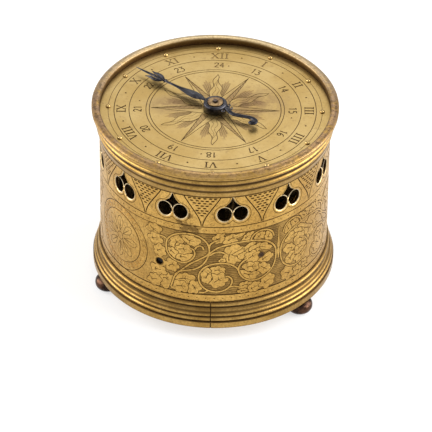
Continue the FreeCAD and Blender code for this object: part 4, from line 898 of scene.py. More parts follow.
# Its leaves in the same way: the points of the outline, and those of the vein.
LEAVES: tuple[tuple[Tenths, Tenths], ...] = (
    (((279, 451), (278, 475), (289, 493), (306, 499), (322, 488), (325, 468), (314, 451), (296, 439)), ((292, 449),
     (301, 469), (314, 481))),
    (((330, 511), (355, 512), (380, 505), (395, 488), (389, 473), (370, 469), (352, 473), (340, 488), (329, 499)),
     ((336, 505), (355, 489), (379, 488))),
    (((301, 435), (314, 453), (335, 461), (355, 451), (356, 431), (340, 418), (319, 419)), ((309, 435), (329, 441),
     (346, 438))),
    (((266, 429), (284, 431), (301, 419), (309, 403), (296, 391), (281, 398), (269, 411)), ((274, 421), (294, 405))),
    (((312, 411), (336, 409), (355, 419), (366, 411), (355, 391), (332, 381), (311, 388)), ((316, 399), (345, 399))),
    (((459, 503), (465, 518), (479, 528), (500, 528), (495, 518), (510, 511), (500, 501), (489, 491), (472, 491)),
     ((469, 503), (489, 515))),
    (((505, 491), (512, 508), (530, 523), (550, 521), (576, 523), (569, 511), (549, 505), (555, 493), (535, 489),
     (519, 485)), ((516, 495), (536, 509), (559, 515))),
    (((636, 491), (642, 508), (658, 515), (672, 508), (670, 489), (655, 483)), ((648, 493), (660, 505))),
    (((680, 479), (685, 499), (697, 511), (708, 501), (715, 481), (705, 469), (692, 469)), ((692, 478), (700, 498))),
    (((580, 491), (589, 511), (606, 523), (622, 521), (612, 505), (605, 491)), ((590, 499), (609, 513))),
    (((515, 388), (509, 409), (511, 433), (520, 453), (539, 464), (552, 458), (575, 453), (565, 439), (546, 431),
     (539, 418), (559, 409), (565, 395), (549, 383), (530, 378)), ((522, 391), (522, 419), (536, 445))),
    (((549, 423), (565, 433), (586, 449), (609, 461), (629, 461), (619, 448), (605, 431), (600, 413), (585, 403),
     (569, 409)), ((560, 419), (586, 431), (612, 451))),
    (((615, 431), (632, 448), (657, 453), (682, 445), (698, 429), (687, 418), (667, 423), (645, 423), (626, 419)),
     ((626, 431), (652, 439), (680, 433))),
    (((595, 391), (599, 408), (615, 419), (636, 418), (650, 401), (647, 381), (629, 369), (609, 374)), ((605, 388),
     (622, 399), (639, 401))),
    (((658, 369), (672, 388), (692, 393), (710, 383), (705, 365), (687, 355), (668, 358)), ((668, 368), (695, 379))),
    (((589, 349), (602, 364), (626, 361), (648, 354), (655, 338), (636, 325), (615, 324), (596, 334)), ((600, 345),
     (622, 345), (642, 339))),
    (((657, 345), (675, 345), (695, 329), (705, 312), (687, 299), (667, 302), (650, 314), (660, 328)), ((662, 335),
     (677, 321), (690, 312))),
    (((576, 329), (592, 325), (609, 314), (632, 312), (645, 298), (629, 284), (606, 286), (586, 299), (576, 316)),
     ((586, 316), (609, 304), (630, 298))),
    (((415, 296), (412, 319), (425, 339), (442, 345), (456, 335), (455, 316), (446, 299), (439, 282), (425, 279)),
     ((426, 298), (435, 321), (446, 334))),
    (((452, 348), (469, 358), (489, 355), (502, 341), (495, 325), (476, 319), (460, 328)), ((462, 339), (479, 344),
     (495, 339))),
    (((459, 314), (476, 314), (492, 318), (505, 304), (509, 284), (496, 268), (476, 258), (459, 264), (446, 272),
     (459, 289)), ((462, 278), (479, 292), (495, 299))),
    (((480, 389), (490, 401), (505, 398), (502, 385), (490, 384)), ((486, 390), (499, 394))),
    (((299, 279), (316, 299), (340, 308), (365, 302), (376, 284), (362, 272), (340, 266), (319, 268)), ((311, 278),
     (336, 286), (360, 284))),
    (((296, 259), (320, 264), (342, 259), (359, 248), (350, 229), (329, 219), (304, 218), (289, 226), (291, 244)),
     ((301, 239), (322, 244), (345, 242))),
    (((362, 264), (380, 276), (395, 264), (402, 246), (392, 229), (376, 219), (360, 224), (360, 244)), ((370, 259),
     (380, 244), (382, 229))),
    (((226, 262), (241, 282), (262, 289), (281, 278), (279, 256), (269, 234), (249, 222), (231, 232)), ((239, 262),
     (256, 266), (271, 252))),
    (((172, 229), (182, 254), (204, 268), (222, 258), (224, 236), (212, 219), (191, 218)), ((184, 238), (211, 246))),
    (((252, 335), (259, 358), (274, 369), (296, 361), (304, 341), (294, 324), (274, 319)), ((264, 335), (282, 348),
     (294, 344))),
    (((186, 298), (196, 318), (219, 319), (241, 312), (249, 294), (231, 284), (209, 279)), ((201, 298), (231, 302))),
    (((166, 499), (176, 519), (199, 528), (221, 521), (224, 503), (209, 491), (186, 488)), ((179, 515), (192, 503),
     (214, 495))),
    (((174, 455), (184, 475), (206, 481), (226, 469), (229, 448), (211, 435), (189, 438)), ((186, 455), (212, 463))),
    (((201, 399), (209, 421), (229, 429), (244, 415), (246, 393), (231, 381), (212, 383)), ((212, 398), (232, 413))),
    (((569, 254), (586, 264), (610, 262), (625, 249), (612, 239), (590, 236), (575, 239)), ((579, 249), (600, 254),
     (616, 249))),
    (((566, 226), (582, 232), (600, 228), (605, 218), (589, 214), (570, 216)), ((575, 222), (596, 224))),
    (((609, 228), (620, 244), (639, 254), (655, 244), (660, 226), (647, 216), (626, 214)), ((620, 226), (647, 236))),
    (((665, 235), (673, 261), (693, 275), (715, 269), (720, 245), (708, 225), (685, 219)), ((680, 241), (708, 255))),
)


@dataclass(frozen=True)
class Bore:
    """A drilled hole: its radius, its bevel, its count of sides, and the rings that are cut round it."""

    radius: float
    bevel: float
    sides: int
    rings: tuple[tuple[Cut, float], ...]


@dataclass
class DrumWall:
    """The wall of the drum: a pierced band above, a scrolled frieze below.

    Angles count from the front toward the right, in degrees.
    """

    radius: float = 48.75
    thickness: float = 1.6
    low: float = 7.1
    high: float = 80.4
    columns: int = 128
    rows: int = 18
    seam_turn: float = 205.65
    first_group: float = 10.65
    groups: int = 12
    oval_z: float = 63.0
    oval_reach: float = 3.45
    oval_half: Pair = (3.1, 3.55)
    oval_sides: int = 40
    oval_bevel: float = 0.62
    spire_bevel: float = 0.45
    bevel_fall: float = 0.36
    ridge: float = 0.04
    frame_line: float = 1.34
    frame_band: float = 1.08
    spire_frame: float = 0.72
    catch: Pair = (-26.1, 34.5)
    catch_bore: Bore = Bore(1.65, 0.06, 28, ((Cut.LEAF, 2.7), (Cut.LINE, 1.95)))
    rivets: tuple[float, ...] = (25.7, 145.7, 265.7)
    rivet_z: float = 39.5
    rivet_bore: Bore = Bore(1.21, 0.05, 24, ((Cut.LINE, 1.55),))
    bore_fall: float = 0.02
    hanging_line: float = 0.24
    hanging_half: float = 7.2
    hanging_foot: float = 57.0
    hanging_tall: float = 14.0
    hanging_curve: float = 1.45
    cell_top: float = 71.3
    cell_rows: int = 9
    cell_reach: int = 4
    cell_pitch: Pair = (2.2, 1.25)
    cell_half: Pair = (0.84, 0.38)
    cell_sway: float = 0.15
    cell_margin: float = 0.4
    cell_room: float = 0.5
    cell_seam: float = 0.85
    band_line: float = 72.05
    band_half: float = 0.28
    frieze: Pair = (21.0, 53.3)
    strip_top: float = 56.7
    strip_half: float = 0.2
    dots: int = 84
    dots_z: Pair = (19.2, 55.05)
    dots_sway: float = 0.12
    lower_dot: Pair = (0.34, 0.24)
    upper_dot: Pair = (0.30, 0.26)
    dot_sides: int = 6
    stem_edge: float = 0.17
    medallions: tuple[float, ...] = (-52.3, 119.65)
    axes: tuple[float, ...] = (35.3, 205.65)
    medallion_z: float = 36.9

    def __post_init__(self) -> None:
        """Starts with a bare sheet."""
        self.steps = [self.length * k / self.columns for k in range(self.columns + 1)]
        rows = [self.low + (self.high - self.low) * k / self.rows for k in range(self.rows + 1)]
        border = [(x, self.low) for x in self.steps] + [(self.length, z) for z in rows[1:-1]]
        border += [(x, self.high) for x in reversed(self.steps)] + [(0.0, z) for z in reversed(rows[1:-1])]
        self.sheet = EngravedSheet(border, self.length, self.thickness, self.lay)
        self.sheet.marks = [(x, z) for x in self.steps[1:-1] for z in rows[1:-1]]

    @property
    def length(self) -> float:
        """The length of the wall laid flat."""
        return 2 * math.pi * self.radius

    def at(self, turn: float) -> float:
        """The place along the flat wall at an angle."""
        return math.radians((turn - self.seam_turn) % 360) * self.radius

    def lay(self, along: float, z: float, depth: float) -> Triple:
        """Bends the flat wall round the drum.

        Args:
            along: The place along the flat wall.
            z: The height.
            depth: How far below the face the point lies.

        Returns:
            The point on the drum.
        """
        turn = math.radians(self.seam_turn) + along / self.radius
        reach = self.radius - depth
        return reach * math.sin(turn), -reach * math.cos(turn), z

    def build(self) -> bpy.types.Object:
        """Builds and dresses the wall.

        Returns:
            The finished wall.
        """
        sheet = self.sheet
        self.pierce()
        self.spandrels()
        self.strips()
        sheet.cut(Cut.GROUND, [(0.0, self.frieze[0]), (self.length, self.frieze[0]),
                               (self.length, self.frieze[1]), (0.0, self.frieze[1])])
        for middle in self.medallions:
            Medallion().cut(sheet, (self.at(middle), self.medallion_z))
        self.panels()
        self.drill()
        wall = sheet.build().to_object("drum_wall_engraved", CASE_GILDING.make())
        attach(wall, "case")
        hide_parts("drum_wall")
        return wall

    def pierce(self) -> None:
        """Cuts the groups of sound holes: two ovals and a spire, framed by a band and a line."""
        z = self.oval_z
        side = smooth_line([(x, z + up) for x, up in SPIRE_FOOT], 4)
        side += smooth_line([(x, z + up) for x, up in SPIRE_HEAD], 4)[1:]
        spire = side + [(-x, y) for x, y in reversed(side[1:-1])]
        for group in range(self.groups):
            middle = self.at(self.first_group + 360 * group / self.groups)
            left, right = (oval((middle + reach, z), *self.oval_half, self.oval_sides)
                           for reach in (-self.oval_reach, self.oval_reach))
            above = [(middle + x, y) for x, y in spire]
            for kind, margin in ((Cut.LINE, self.frame_line), (Cut.LEAF, self.frame_band)):
                for hole, share in ((left, 1.0), (right, 1.0), (above, self.spire_frame)):
                    self.sheet.cut(kind, grown(counter_clockwise(hole), margin * share))
            self.sheet.pierce(left, self.oval_bevel, self.bevel_fall, (-math.inf, middle - self.ridge))
            self.sheet.pierce(right, self.oval_bevel, self.bevel_fall, (middle + self.ridge, math.inf))
            self.sheet.pierce(above, self.spire_bevel, self.bevel_fall)

    def drill(self) -> None:
        """Cuts the catch's hole and the holes of the rivets, each with a dark ring round it."""
        holes = [(*self.catch, self.catch_bore)] + [(turn, self.rivet_z, self.rivet_bore) for turn in self.rivets]
        for turn, z, bore in holes:
            spot = (self.at(turn), z)
            for kind, ring in bore.rings:
                self.sheet.cut(kind, oval(spot, ring, ring, bore.sides))
            self.sheet.pierce(oval(spot, bore.radius, bore.radius, bore.sides), bore.bevel, self.bore_fall)

    def spandrels(self) -> None:
        """Cuts the hanging triangles between the groups of holes, filled with rows of punched cells."""
        side = smooth_line(HANGING_SIDE, 3)
        for group in range(self.groups):
            middle = self.at(self.first_group + 180 / self.groups + 360 * group / self.groups)
            wraps = middle < SEAM_GAP or middle > self.length - SEAM_GAP
            if wraps:
                middle = 0.0
            for sign in (-1, 1):
                line = [(middle + sign * x, z) for x, z in side]
                if wraps and sign < 0:
                    line = [(x + self.length, z) for x, z in line]
                self.sheet.line(line, self.hanging_line)
            for row in range(self.cell_rows):
                z = self.cell_top - row * self.cell_pitch[1]
                rise = (z - self.hanging_foot) / self.hanging_tall
                reach = self.hanging_half * rise ** self.hanging_curve - self.cell_margin
                shift = 0.0 if row % 2 else self.cell_pitch[0] / 2
                for k in range(-self.cell_reach, self.cell_reach + 1):
                    x = k * self.cell_pitch[0] + shift + self.cell_sway * math.sin(row * 3.1 + k * 1.7)
                    if abs(x) + self.cell_room > reach or (wraps and abs(x) < self.cell_seam):
                        continue
                    start = middle + x + (self.length if wraps and x < 0 else 0.0)
                    self.sheet.cut(Cut.LINE, oval((start, z), *self.cell_half, self.dot_sides))

    def strips(self) -> None:
        """Cuts the level lines, and the two dotted strips above and below the frieze."""
        lines = [(self.band_line, self.band_half)]
        lines += [(z, self.strip_half) for z in (self.strip_top, *reversed(self.frieze))]
        for z, half_width in lines:
            self.sheet.line([(x, z) for x in self.steps], half_width)
        low, high = self.dots_z
        for k in range(self.dots):
            x = self.length * (k + 0.5) / self.dots
            spot = (x, high + self.dots_sway * math.sin(k * 1.7))
            self.sheet.cut(Cut.LINE, oval(spot, *self.upper_dot, self.dot_sides))
            self.sheet.cut(Cut.LINE, oval((x, low), *self.lower_dot, self.dot_sides))

    def stretched(self, start: float, end: float, width: float) -> Placing:
        """Gives the places of points that were drawn in some width and now reach from one angle to another."""
        origin, stretch = self.at(start), math.radians(end - start) * self.radius / width
        return lambda x, z: (origin + x * stretch, z)

    def panels(self) -> None:
        """Cuts the four panels of scrolling stems and leaves between the medallions and the upright stems."""
        first, second = self.medallions
        near, far = self.axes
        frieze = ScrollPanel()
        for start, end in ((first, near), (second, near), (second, far), (first, far - 360)):
            frieze.cut(self.sheet, self.stretched(start, end, frieze.width))
        stem = smooth_line(UPRIGHT_STEM, 4)
        for kind, edge in ((Cut.LINE, self.stem_edge), (Cut.LEAF, 0.0)):
            for start, side in ((self.at(near), 1), (self.at(near), -1), (0.0, 1), (self.length, -1)):
                for (wide, low), (next_wide, high) in zip(stem, stem[1:]):
                    self.sheet.cut(kind, [(start, low), (start + side * (wide + edge), low),
                                          (start + side * (next_wide + edge), high), (start, high)])


@dataclass
class Medallion:
    """A round wreath with a rosette in it."""

    rings: tuple[Pair, ...] = ((16.2, 0.17), (12.4, 0.15))
    ring_sides: int = 72
    field: float = 12.2
    leaves: int = 34
    leaf_rows: tuple[Pair, ...] = ((12.5, 14.4), (13.9, 15.8))
    leaf_lean: float = 8.5
    leaf_rise: float = 0.25
    leaf_wide: float = 0.34
    leaf_belly: float = 0.45
    petals: int = 8
    petal: tuple[Pair, ...] = ((2.6, 0), (5.0, 13), (7.6, 15), (9.6, 8), (10.4, 0))
    petal_half: float = 0.10
    rib: tuple[Pair, ...] = ((3.2, 0.16), (6.0, 0.13), (8.6, 0.05))
    kite: tuple[Pair, ...] = ((6.4, 0), (9.8, -7), (11.2, 0), (9.8, 7))
    eye: float = 1.9
    eye_half: float = 0.14

    def cut(self, sheet: EngravedSheet, centre: Pair) -> None:
        """Cuts the medallion.

        Args:
            sheet: The sheet to cut.
            centre: Its middle.
        """

        def around(radius: float, degrees: float) -> Pair:
            """A point of the medallion."""
            return polar(radius, degrees, centre)

        step = 360 / self.ring_sides
        for radius, half_width in self.rings:
            line = [around(radius, step * k) for k in (*range(self.ring_sides), 0, 1)]
            sheet.cut(Cut.LINE, *ribbon([line[-3], *line[:-1]], half_width)[1:])
        sheet.cut(Cut.LEAF, [around(self.field, step * k) for k in range(self.ring_sides)])
        for k in range(self.leaves):
            turn = 360 * k / self.leaves
            for inner, outer in self.leaf_rows:
                reach = (inner + outer) / 2
                start, tip = around(reach, turn), around(reach + self.leaf_rise, turn + self.leaf_lean)
                dx, dz = tip[0] - start[0], tip[1] - start[1]
                middle = (start[0] + dx * self.leaf_belly, start[1] + dz * self.leaf_belly)
                wide = self.leaf_wide
                sheet.cut(Cut.LEAF, [start, (middle[0] + dz * wide, middle[1] - dx * wide), tip,
                                     (middle[0] - dz * wide, middle[1] + dx * wide)])
        for k in range(self.petals):
            turn = 360 * k / self.petals
            outline = [around(r, turn + w) for r, w in self.petal]
            outline += [around(r, turn - w) for r, w in self.petal[-2:0:-1]]
            for a, b in zip(outline, [*outline[1:], outline[0]]):
                sheet.line([a, b], self.petal_half)
            sheet.line([around(r, turn) for r, _ in self.rib], [half for _, half in self.rib])
            between = turn + 180 / self.petals
            sheet.cut(Cut.SHADE, [around(r, between + w) for r, w in self.kite])
        sheet.line([around(self.eye, 30 * k) for k in range(13)], self.eye_half)


@dataclass
class ScrollPanel:
    """One panel of the frieze: scrolled stems with vine leaves, drawn from the medallion to the upright stem."""

    width: float = 74.5
    stem: float = 0.36
    edge: float = 0.27
    vein: float = 0.20
    vein_taper: float = 0.75
    leaf_scale: float = 1.42
    lobes: int = 6
    lobe_round: float = 0.7
    notch: float = 0.30
    side_vein_turn: float = 58
    side_vein_share: float = 0.42
    side_vein_halves: Pair = (0.14, 0.05)

    def leaf(self, outline: Sequence[Pair], number: int) -> list[Pair]:
        """Draws the lobes of a leaf.

        Args:
            outline: Its plain outline.
            number: Its number, by which its lobes differ from those of the next leaf.

        Returns:
            The lobed outline.
        """
        line = smooth_line([*outline, outline[0]], 5)[:-1]
        middle = tuple(sum(axis) / len(line) for axis in zip(*line))
        lobed = []
        for x, z in line:
            dx, dz = x - middle[0], z - middle[1]
            lobe = abs(math.sin(self.lobes / 2 * math.atan2(dz, dx) + number)) ** self.lobe_round
            share = self.leaf_scale * (1 - self.notch + self.notch * lobe)
            lobed.append((middle[0] + dx * share, middle[1] + dz * share))
        return lobed

    def cut(self, sheet: EngravedSheet, place: Placing) -> None:
        """Cuts the panel into a sheet.

        Args:
            sheet: The sheet to cut.
            place: Gives the place on the sheet of a point of the panel.
        """
        for number, leaf in enumerate(LEAVES):
            outline, vein = ([(x / 10, z / 10) for x, z in line] for line in leaf)
            laid = counter_clockwise([place(*point) for point in self.leaf(outline, number)])
            sheet.cut(Cut.LINE, grown(laid, self.edge))
            sheet.cut(Cut.LEAF, laid)
            rib = [place(*point) for point in smooth_line(vein, 3)]
            halves = [self.vein * (1 - self.vein_taper * k / len(rib)) for k in range(len(rib))]
            sheet.line(rib, halves)
            heading = math.degrees(math.atan2(vein[-1][1] - vein[0][1], vein[-1][0] - vein[0][0]))
            long = math.dist(vein[0], vein[-1])
            root = vein[len(vein) // 2] if len(vein) > 2 else vein[0]
            for turn in (self.side_vein_turn, -self.side_vein_turn):
                tip = polar(self.side_vein_share * long, heading + turn, root)
                sheet.line([place(*root), place(*tip)], self.side_vein_halves)
        stems = [smooth_line([(x / 10, z / 10) for x, z in stem], 4) for stem in STEMS]
        routes = [[place(*point) for point in stem] for stem in stems]
        for kind, half_width in ((Cut.LINE, self.stem + self.edge), (Cut.LEAF, self.stem)):
            for route in routes:
                sheet.cut(kind, *ribbon(route, half_width))


# Outline of a moulding from its lower edge up: share of the projection, share of the height,
# and the bow of the stretch that follows as a share of its length.
BASE_PROFILE = (
    (0.12, 0.0, 0.0), (0.0, 0.033, 0.0), (0.0, 0.258, 0.0), (0.23, 0.283, 0.3), (0.31, 0.425, 0.0),
    (0.43, 0.45, 0.3), (0.49, 0.583, -0.2), (0.71, 0.783, 0.0), (0.815, 0.8, 0.3), (0.815, 0.958, 0.0),
    (0.94, 0.975, 0.0), (0.94, 1.0, 0.0),
)
TOP_PROFILE = (
    (0.87, 0.0, 0.0), (0.87, 0.03, 0.0), (0.74, 0.2, 0.0), (0.79, 0.245, 0.0), (0.74, 0.27, 0.25),
    (0.7, 0.435, 0.0), (0.68, 0.46, -0.15), (0.46, 0.575, 0.3), (0.46, 0.705, 0.0), (0.53, 0.73, 0.0),
    (0.34, 0.752, 0.3), (0.25, 0.853, 0.0), (0.22, 0.868, 0.0), (0.0, 0.884, 0.0), (0.0, 0.946, 0.0),
)
# Inside of a moulding from its top down: radius, height and tone; the tone darkens the inner walls with tarnish and
# painted shade, most on the top rim's inner wall next to the dial.
BASE_INSIDE = ((48.8, 17.5, 1.0), (48.8, 7.1, 0.5), (50.65, 7.1, 0.5), (50.65, 5.5, 0.5))
TOP_INSIDE = (
    (51.0, 85.2, 0.0), (49.2, 85.2, 0.05), (48.75, 85.08, 0.15), (48.55, 84.8, 0.5), (48.5, 84.0, 0.82),
    (48.5, 83.0, 0.95), (48.5, 82.3, 1.0), (48.5, 80.4, 1.0), (48.8, 80.4, 1.0), (48.8, 72.3, 1.0),
)
# Where grime and painted shade darken a moulding, in its grooves and along its edges: middle and half reach as shares
# of its height, and strength.
BASE_GRIME_AND_SHADE = (
    (1.0, 0.085, 1.0), (0.80, 0.07, 0.95), (0.695, 0.06, 0.55), (0.60, 0.05, 0.9), (0.44, 0.04, 1.0),
    (0.275, 0.035, 1.0), (0.0, 0.06, 0.6),
)
TOP_GRIME_AND_SHADE = (
    (0.86, 0.022, 1.0), (0.73, 0.045, 1.0), (0.495, 0.09, 1.0), (0.235, 0.05, 0.95), (0.0, 0.05, 0.9),
)


@dataclass
class Moulding:
    """A turned moulding ring, hand finished, with grooves between its beads darkened by grime and painted shade."""

    name: str
    node: str
    profile: Sequence[Triple]
    grime: Sequence[Triple]
    low: float
    height: float
    inner: Sequence[Triple]
    seam_turn: float | None = None
    worn_above: float = math.inf
    worn_depth: float = 1.2
    rim: float = 52.0
    projection: float = 3.25
    columns: int = 240
    stretch: float = 0.28
    seam_half: float = 0.13
    seam_depth: float = 0.25
    wave_depth: float = 0.05
    wave_scale: float = 0.12
    worn_front: float = 0.34
    worn_fall: float = 0.28
    worn_bright: float = 0.5
    wall_gap: float = 0.2

    def outline(self) -> list[Pair]:
        """Draws the outside, with its bows divided.

        Returns:
            Radius and height of each point.
        """
        line: list[Pair] = []
        corners = [(self.rim - s * self.projection, self.low + h * self.height, bow) for s, h, bow in self.profile]
        for (ax, az, bow), (bx, bz, _) in zip(corners, corners[1:]):
            steps = max(2, round(math.hypot(bx - ax, bz - az) / self.stretch))
            for k in range(steps):
                t = k / steps
                out = bow * 4 * t * (1 - t)
                line.append((ax + (bx - ax) * t + (bz - az) * out, az + (bz - az) * t - (bx - ax) * out))
        line.append(corners[-1][:2])
        return line

    def build(self) -> bpy.types.Object:
        """Builds and dresses the ring.

        Returns:
            The finished ring.
        """
        outer = self.outline()
        profile = []
        for r, z in outer:
            share = (z - self.low) / self.height
            # Grooves and edges get tone, as grime and painted shade.
            dirt = [strength * max(0.0, 1 - (abs(share - at) / reach) ** 2) for at, reach, strength in self.grime]
            profile.append((r, z, max(dirt)))
        profile += self.inner
        angles = even_angles(self.columns)
        if self.seam_turn is not None:
            angles += [self.seam_turn + step * self.seam_half for step in (-2, -1, 1, 2)]
            angles.sort()
        shape = lathe(profile, angles)
        shape.values["wear"] = [0.0] * len(shape.points)
        shape.values["rim"] = [0.0] * len(shape.points)
        inner_reach = min(r for r, _ in outer) - self.wall_gap
        for k, (x, y, z) in enumerate(shape.points):
            reach = math.hypot(x, y)
            if z > self.worn_above:
                rise = (z - self.worn_above) / self.worn_depth
                side = (x / reach) ** 2
                held = side + (1 - side) * (self.worn_front - self.worn_fall * y / reach)
                shape.values["wear"][k] = min(1.0, rise) * held
                # The rim's top is painted lighter toward the back, a painted highlight.
                shape.values["rim"][k] = max(0.0, rise * (y / reach) * self.worn_bright)
            if reach < inner_reach:
                continue
            wave = noise.noise(Vector((x, y, z * 2)) * self.wave_scale) * self.wave_depth
            turn = math.degrees(math.atan2(y, x))
            if self.seam_turn is not None and abs((turn - self.seam_turn + 180) % 360 - 180) < 1.5 * self.seam_half:
                wave -= self.seam_depth
                shape.values["tone"][k] = 1.0
            share = (reach + min(wave, 0.0)) / reach
            shape.points[k] = (x * share, y * share, z)
        ring = shape.to_object(self.name, MOULDING_GILDING.make(), 50.0)
        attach(ring, "case")
        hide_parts(self.node)
        return ring


@dataclass
class RingOfCopies:
    """A Geometry Nodes tree that sets copies of one small piece round a circle."""

    count: int
    radius: float
    start: float

    def tree(self) -> bpy.types.NodeTree:
        """Builds the tree with its named inputs.

        Returns:
            The tree.
        """
        tree = bpy.data.node_groups.new("ring_of_copies", "GeometryNodeTree")
        for name, kind in (("Geometry", "Geometry"), ("Count", "Int"), ("Radius", "Float"), ("Start", "Float"),
                           ("Copy", "Object"), ("Finish", "Material")):
            tree.interface.new_socket(name, in_out="INPUT", socket_type="NodeSocket" + kind)
        tree.interface.new_socket("Geometry", in_out="OUTPUT", socket_type="NodeSocketGeometry")
        given = tree.nodes.new("NodeGroupInput").outputs
        circle = put(tree, "GeometryNodeMeshCircle", "Mesh", {"Vertices": given["Count"], "Radius": given["Radius"]})
        angle = put(tree, "ShaderNodeCombineXYZ", 0, {"Z": given["Start"]})
        turned = put(tree, "GeometryNodeTransform", 0, {"Geometry": circle, "Rotation": angle})
        copy = put(tree, "GeometryNodeObjectInfo", "Geometry", {"Object": given["Copy"]})
        spread = put(tree, "GeometryNodeInstanceOnPoints", 0, {"Points": turned, "Instance": copy})
        real = put(tree, "GeometryNodeRealizeInstances", 0, {0: spread})
        finished = put(tree, "GeometryNodeSetMaterial", 0, {"Geometry": real, "Material": given["Finish"]})
        tree.links.new(finished, tree.nodes.new("NodeGroupOutput").inputs[0])
        return tree

    def spread(self, name: str, copy: bpy.types.Object) -> bpy.types.Object:
        """Sets the copies and turns them into one plain mesh.

        Args:
            name: The name of the finished piece.
            copy: The small piece, made at the origin; it is removed afterwards.

        Returns:
            The finished piece.
        """
        carrier = bpy.data.objects.new(name, bpy.data.meshes.new(name))
        bpy.context.scene.collection.objects.link(carrier)
        tree = self.tree()
        modifier = carrier.modifiers.new("copies", "NODES")
        modifier.node_group = tree
        finish = copy.data.materials[0]
        wanted = {"Count": self.count, "Radius": self.radius * MM, "Start": math.radians(self.start),
                  "Copy": copy, "Finish": finish}
        for item in tree.interface.items_tree:
            if item.in_out == "INPUT" and item.name in wanted:
                modifier[item.identifier] = wanted[item.name]
        carrier.update_tag()
        bpy.context.view_layer.update()
        graph = bpy.context.evaluated_depsgraph_get()
        mesh = bpy.data.meshes.new_from_object(carrier.evaluated_get(graph))
        carrier.modifiers.remove(modifier)
        carrier.data = mesh
        bpy.data.objects.remove(copy)
        return carrier


@dataclass
class BunFeet:
    """Three turned bun feet of dark bronze."""

    circle: float = 48.2
    first: float = -38.2
    height: float = 5.5
    belly: float = 5.5
    bulge: float = 1.75
    bulge_z: float = 2.55
    bulge_tall: float = 2.5
    bulge_turn: float = 62.0
    bulge_steps: int = 16
    neck: float = 3.3
    sides: int = 48

    def build(self) -> bpy.types.Object:
        """Builds and dresses the feet.

        Returns:
            The finished feet, as one piece.
        """
        # The underside and the neck of a foot get tone, as painted shade beneath the foot and under the case.
        profile = [(0.0, 0.0, 0.6), (2.2, 0.0, 0.6), (3.2, 0.08, 0.5)]
        for k in range(1, self.bulge_steps + 1):
            turn = math.radians(-self.bulge_turn + 2 * self.bulge_turn * k / self.bulge_steps)
            out = self.belly - self.bulge + self.bulge * math.cos(turn)
            profile.append((out, self.bulge_z + self.bulge_tall * math.sin(turn), 0.0))
        profile += [(self.neck, 5.3, 0.6), (self.neck, self.height, 0.6), (0.0, self.height, 0.6)]
        foot = lathe(profile, even_angles(self.sides), closed=False).to_object("bun_foot", FOOT_BRONZE.make())
        feet = RingOfCopies(3, self.circle, self.first).spread("bun_feet", foot)
        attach(feet, "case")
        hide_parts("foot_1", "foot_2", "foot_3")
        return feet


# Dial

class Stroke(Enum):
    """How an engraver cuts a stroke of a figure: its half width as a share of the figure's height."""

    THICK = 0.088
    THIN = 0.050
    PEN = 0.070


# Roman figures: the width of each letter, its thick strokes, and its thin ones.
ROMAN = {
    "I": (0.40, [((0.2, 0.0), (0.2, 1.0))], [((0.05, 0.0), (0.35, 0.0)), ((0.05, 1.0), (0.35, 1.0))]),
    "V": (0.72, [((0.12, 1.0), (0.38, 0.0))],
          [((0.62, 1.0), (0.38, 0.0)), ((0.0, 1.0), (0.26, 1.0)), ((0.5, 1.0), (0.74, 1.0))]),
    "X": (0.76, [((0.1, 1.0), (0.62, 0.0))],
          [((0.62, 1.0), (0.1, 0.0)), ((0.0, 1.0), (0.24, 1.0)), ((0.5, 1.0), (0.74, 1.0)),
           ((0.0, 0.0), (0.24, 0.0)), ((0.5, 0.0), (0.74, 0.0))]),
}
# Arabic figures: the strokes of each, curved or straight, and their lines.
ARABIC = {
    "0": [(True, [(0.5, 0.5), (0.44, 0.86), (0.27, 0.98), (0.1, 0.86), (0.04, 0.5), (0.1, 0.14), (0.27, 0.02),
                  (0.44, 0.14), (0.5, 0.5)])],
    "1": [(False, [(0.14, 0.82), (0.3, 1.0), (0.3, 0.0)])],
    "2": [(True, [(0.05, 0.78), (0.15, 0.96), (0.38, 0.97), (0.5, 0.78), (0.42, 0.55), (0.05, 0.05)]),
          (False, [(0.05, 0.05), (0.3, 0.09), (0.56, 0.02)])],
    "3": [(False, [(0.05, 0.95), (0.5, 0.95), (0.24, 0.6)]),
          (True, [(0.24, 0.6), (0.44, 0.52), (0.52, 0.3), (0.4, 0.06), (0.18, 0.02), (0.03, 0.14)])],
    "4": [(False, [(0.42, 0.0), (0.42, 1.0), (0.04, 0.34), (0.58, 0.34)])],
    "5": [(False, [(0.5, 0.97), (0.16, 0.97), (0.1, 0.58)]),
          (True, [(0.1, 0.58), (0.34, 0.62), (0.52, 0.42), (0.46, 0.14), (0.26, 0.02), (0.05, 0.1)])],
    "6": [(True, [(0.46, 0.95), (0.2, 0.8), (0.06, 0.45), (0.1, 0.14), (0.28, 0.02), (0.46, 0.12), (0.5, 0.32),
                  (0.36, 0.5), (0.1, 0.4)])],
    "7": [(False, [(0.03, 0.93), (0.54, 0.95), (0.2, 0.0)])],
    "8": [(True, [(0.27, 0.52), (0.08, 0.66), (0.1, 0.9), (0.28, 0.99), (0.46, 0.9), (0.46, 0.66), (0.27, 0.52),
                  (0.05, 0.34), (0.06, 0.1), (0.27, 0.01), (0.5, 0.1), (0.5, 0.34), (0.27, 0.52)])],
    "9": [(True, [(0.48, 0.62), (0.3, 0.46), (0.1, 0.56), (0.06, 0.82), (0.26, 0.98), (0.46, 0.9), (0.52, 0.6),
                  (0.42, 0.25), (0.16, 0.03)])],
}
# A shaded leaf between two rays of the sun: distance from the middle of the dial, and to the side.
SUN_LEAF = (
    (8.0, -0.5), (12.5, -1.2), (16.0, -1.8), (18.6, -2.0), (18.2, -1.2), (20.6, -0.9), (20.0, -0.3),
    (22.0, 0.2), (19.6, 0.7), (19.9, 1.6), (16.0, 1.6), (12.5, 1.1), (8.0, 0.5),
)
# A line of its hatching: distance, spread to the side, and half width.
SUN_HATCH = ((9.5, 0.8, 0.05), (14.0, 1.6, 0.09), (18.6, 2.4, 0.05))
